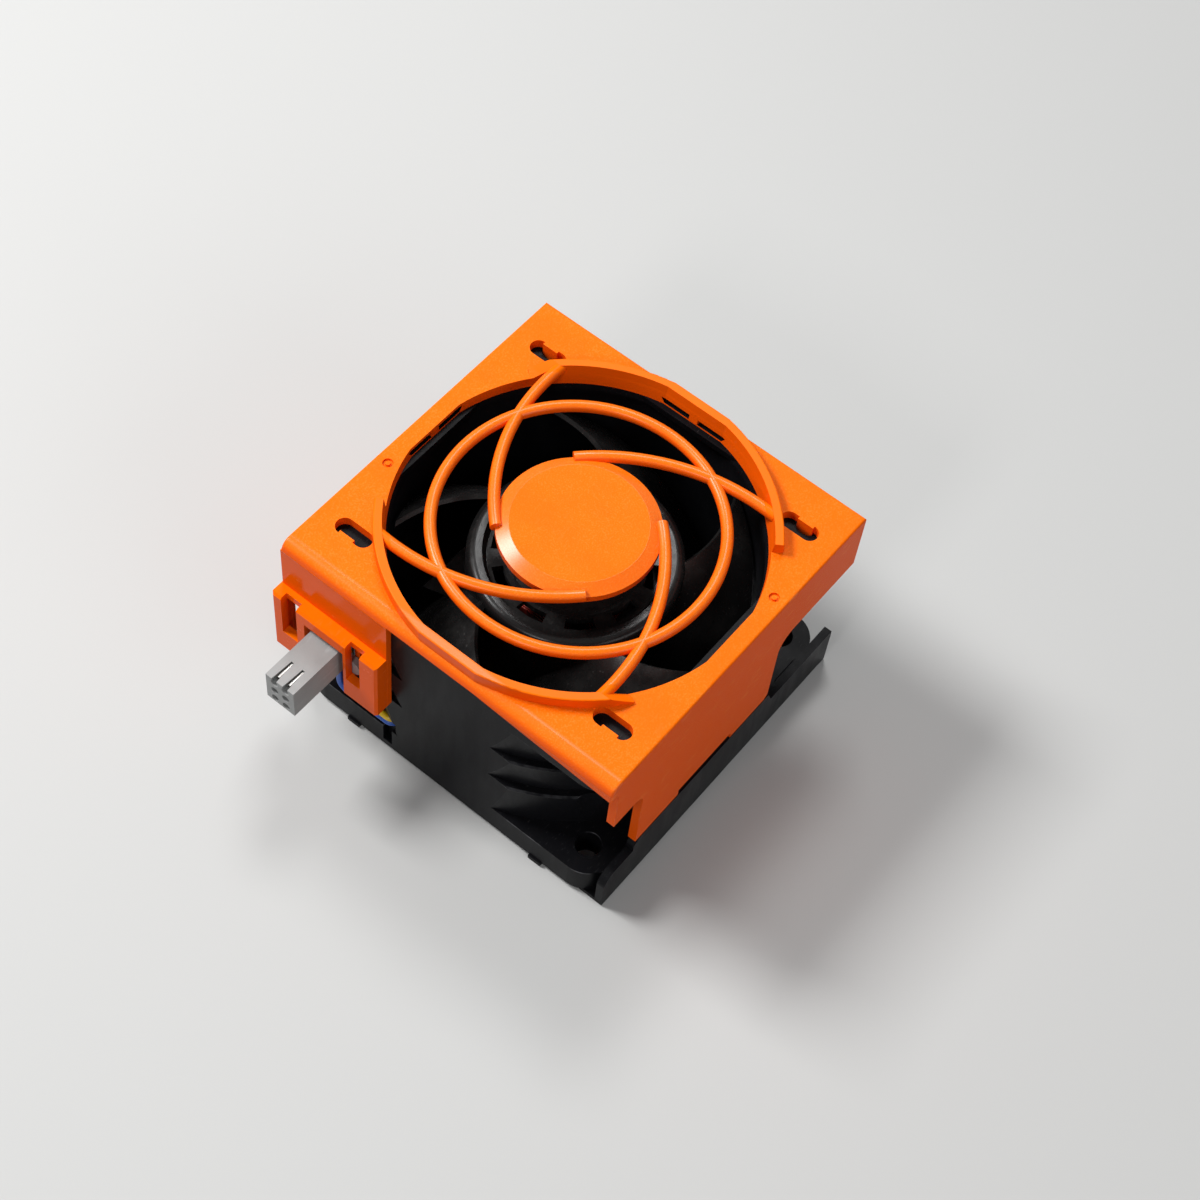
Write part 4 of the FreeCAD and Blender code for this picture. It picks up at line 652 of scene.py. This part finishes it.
def component_case():
    """black cases on soldered feet"""
    finish = Finish("component_case", (0.02, 0.02, 0.022), 0.5)
    tree = finish.tree
    x, y, z, radius = along(tree, finish.place)
    finish.tint(without(tree, ramp(tree, z, *millimetres(SOLDER_HEIGHT))), SOLDER_GREY)
    finish.relief(finish.use(SPARK_TEXTURE, Grain=0.1).outputs["Height"], 0.01, 0.5)
    return finish


def bonded_ferrite():
    finish = Finish("bonded_ferrite", (0.035, 0.035, 0.038), 0.62)
    grain = noise(finish.tree, finish.place, 0.2 * MM, 4.0)
    finish.tint(ramp(finish.tree, grain, 0.4, 0.7), FERRITE_GRAIN, 0.7)
    finish.relief(grain, 0.02, 0.6)
    return finish


FINISHES = {
    "tray_plastic": black_filled_plastic(
        "tray_plastic", (0.006, 0.006, 0.007), 0.36, dust=0.06, sheen=0.30, specular=0.05),
    "frame_plastic": painted_edge_highlights(black_filled_plastic(
        "frame_plastic", (0.005, 0.005, 0.006), 0.36, dust=0.06, sheen=0.30, specular=0.05)),
    "rotor_plastic": black_filled_plastic(
        "rotor_plastic", (0.010, 0.0095, 0.0095), 0.28, dust=0.6, sheen=0.24, specular=0.28),
    "orange_plastic": orange_shroud(),
    "plug_plastic": grey_plug(),
    "tube_brass": turned_metal("tube_brass", (0.72, 0.50, 0.22), 0.28),
    "bearing_steel": turned_metal("bearing_steel", (0.62, 0.62, 0.64), 0.20),
    "shaft_steel": turned_metal("shaft_steel", (0.66, 0.66, 0.68), 0.16, 0.05),
    "clip_steel": turned_metal("clip_steel", (0.20, 0.20, 0.21), 0.35),
    "spring_steel": turned_metal("spring_steel", (0.60, 0.60, 0.62), 0.22, 0.05),
    "core_steel": stamped_sheets(),
    "cap_plastic": black_filled_plastic("cap_plastic", (0.03, 0.03, 0.033), 0.45, dust=0.2, sheen=0.38),
    "winding_copper": enamelled_wire(),
    "board_laminate": circuit_laminate(),
    "component_case": component_case(),
    "magnet_ferrite": bonded_ferrite(),
    "yoke_steel": turned_metal("yoke_steel", (0.58, 0.58, 0.60), 0.30),
    "contact_metal": turned_metal("contact_metal", (0.52, 0.51, 0.49), 0.30, 0.2),
    "yellow_insulation": lead_insulation("yellow_insulation", (0.85, 0.55, 0.01)),
    "blue_insulation": lead_insulation("blue_insulation", (0.02, 0.10, 0.48)),
    "black_insulation": lead_insulation("black_insulation", (0.015, 0.015, 0.016)),
    "red_insulation": lead_insulation("red_insulation", (0.55, 0.015, 0.012)),
}


def dress(piece, slot):
    piece.data.materials.clear()
    piece.data.materials.append(FINISHES[slot].material)


for entry in frame["record"]["subparts"]:
    dress(frame["nodes"][entry["node"]], entry["material_slot"])


# Coil wire: the outer layer of turns that shows through the hub's vents

WIRE = 0.34 * MM
COIL_ROUND = 1.6 * MM
COIL_HALF_WIDTH = 4.67 * MM
COIL_START = 6.32 * MM
COILS = 4


def pick(test):
    """select the points of the mesh being edited that pass a test"""
    shape = bmesh.from_edit_mesh(bpy.context.object.data)
    for point in shape.verts:
        point.select = test(point.co)
    shape.select_flush_mode()
    bmesh.update_edit_mesh(bpy.context.object.data)


def winding_turns():
    """wire laid round each pole; a turn is a ring whose four quarters are moved apart"""
    low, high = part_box("stator_windings")
    middle = (low.z + high.z) / 2
    tall = (high.z - low.z) / 2 - COIL_ROUND
    wide = COIL_HALF_WIDTH - COIL_ROUND
    first = COIL_START + WIRE / 2
    last = high.x - WIRE / 2
    count = int((last - first) / WIRE) + 1
    bpy.ops.object.select_all(action="DESELECT")
    bpy.ops.mesh.primitive_torus_add(
        location=(first, 0, middle), rotation=(0, math.pi / 2, 0), major_radius=COIL_ROUND,
        minor_radius=WIRE / 2, major_segments=28, minor_segments=8)
    turn = bpy.context.object
    bpy.ops.object.transform_apply(location=True, rotation=True, scale=True)
    bpy.ops.object.mode_set(mode="EDIT")
    for sign in (1, -1):
        pick(lambda place: place.y * sign > 1e-7)
        bpy.ops.transform.translate(value=(0, sign * wide, 0))
        pick(lambda place: (place.z - middle) * sign > 1e-7)
        bpy.ops.transform.translate(value=(0, 0, sign * tall))
    bpy.ops.object.mode_set(mode="OBJECT")
    row = turn.modifiers.new("row", "ARRAY")
    row.count = count
    row.use_relative_offset = False
    row.use_constant_offset = True
    row.constant_offset_displace = ((last - first) / (count - 1), 0, 0)
    bpy.ops.object.modifier_apply(modifier="row")
    coils = [turn]
    for number in range(1, COILS):
        coil = turn.copy()
        coil.data = turn.data.copy()
        bpy.context.collection.objects.link(coil)
        bpy.ops.object.select_all(action="DESELECT")
        coil.select_set(True)
        bpy.context.view_layer.objects.active = coil
        bpy.ops.transform.rotate(
            value=number * 2 * math.pi / COILS, orient_axis="Z", center_override=(0, 0, 0))
        bpy.ops.object.transform_apply(location=True, rotation=True, scale=True)
        coils.append(coil)
    for coil in coils:
        coil.select_set(True)
    bpy.context.view_layer.objects.active = turn
    bpy.ops.object.join()
    turn.name = "winding_turns"
    bpy.ops.object.shade_smooth()
    dress(turn, "winding_copper")
    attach(turn, "module")


winding_turns()
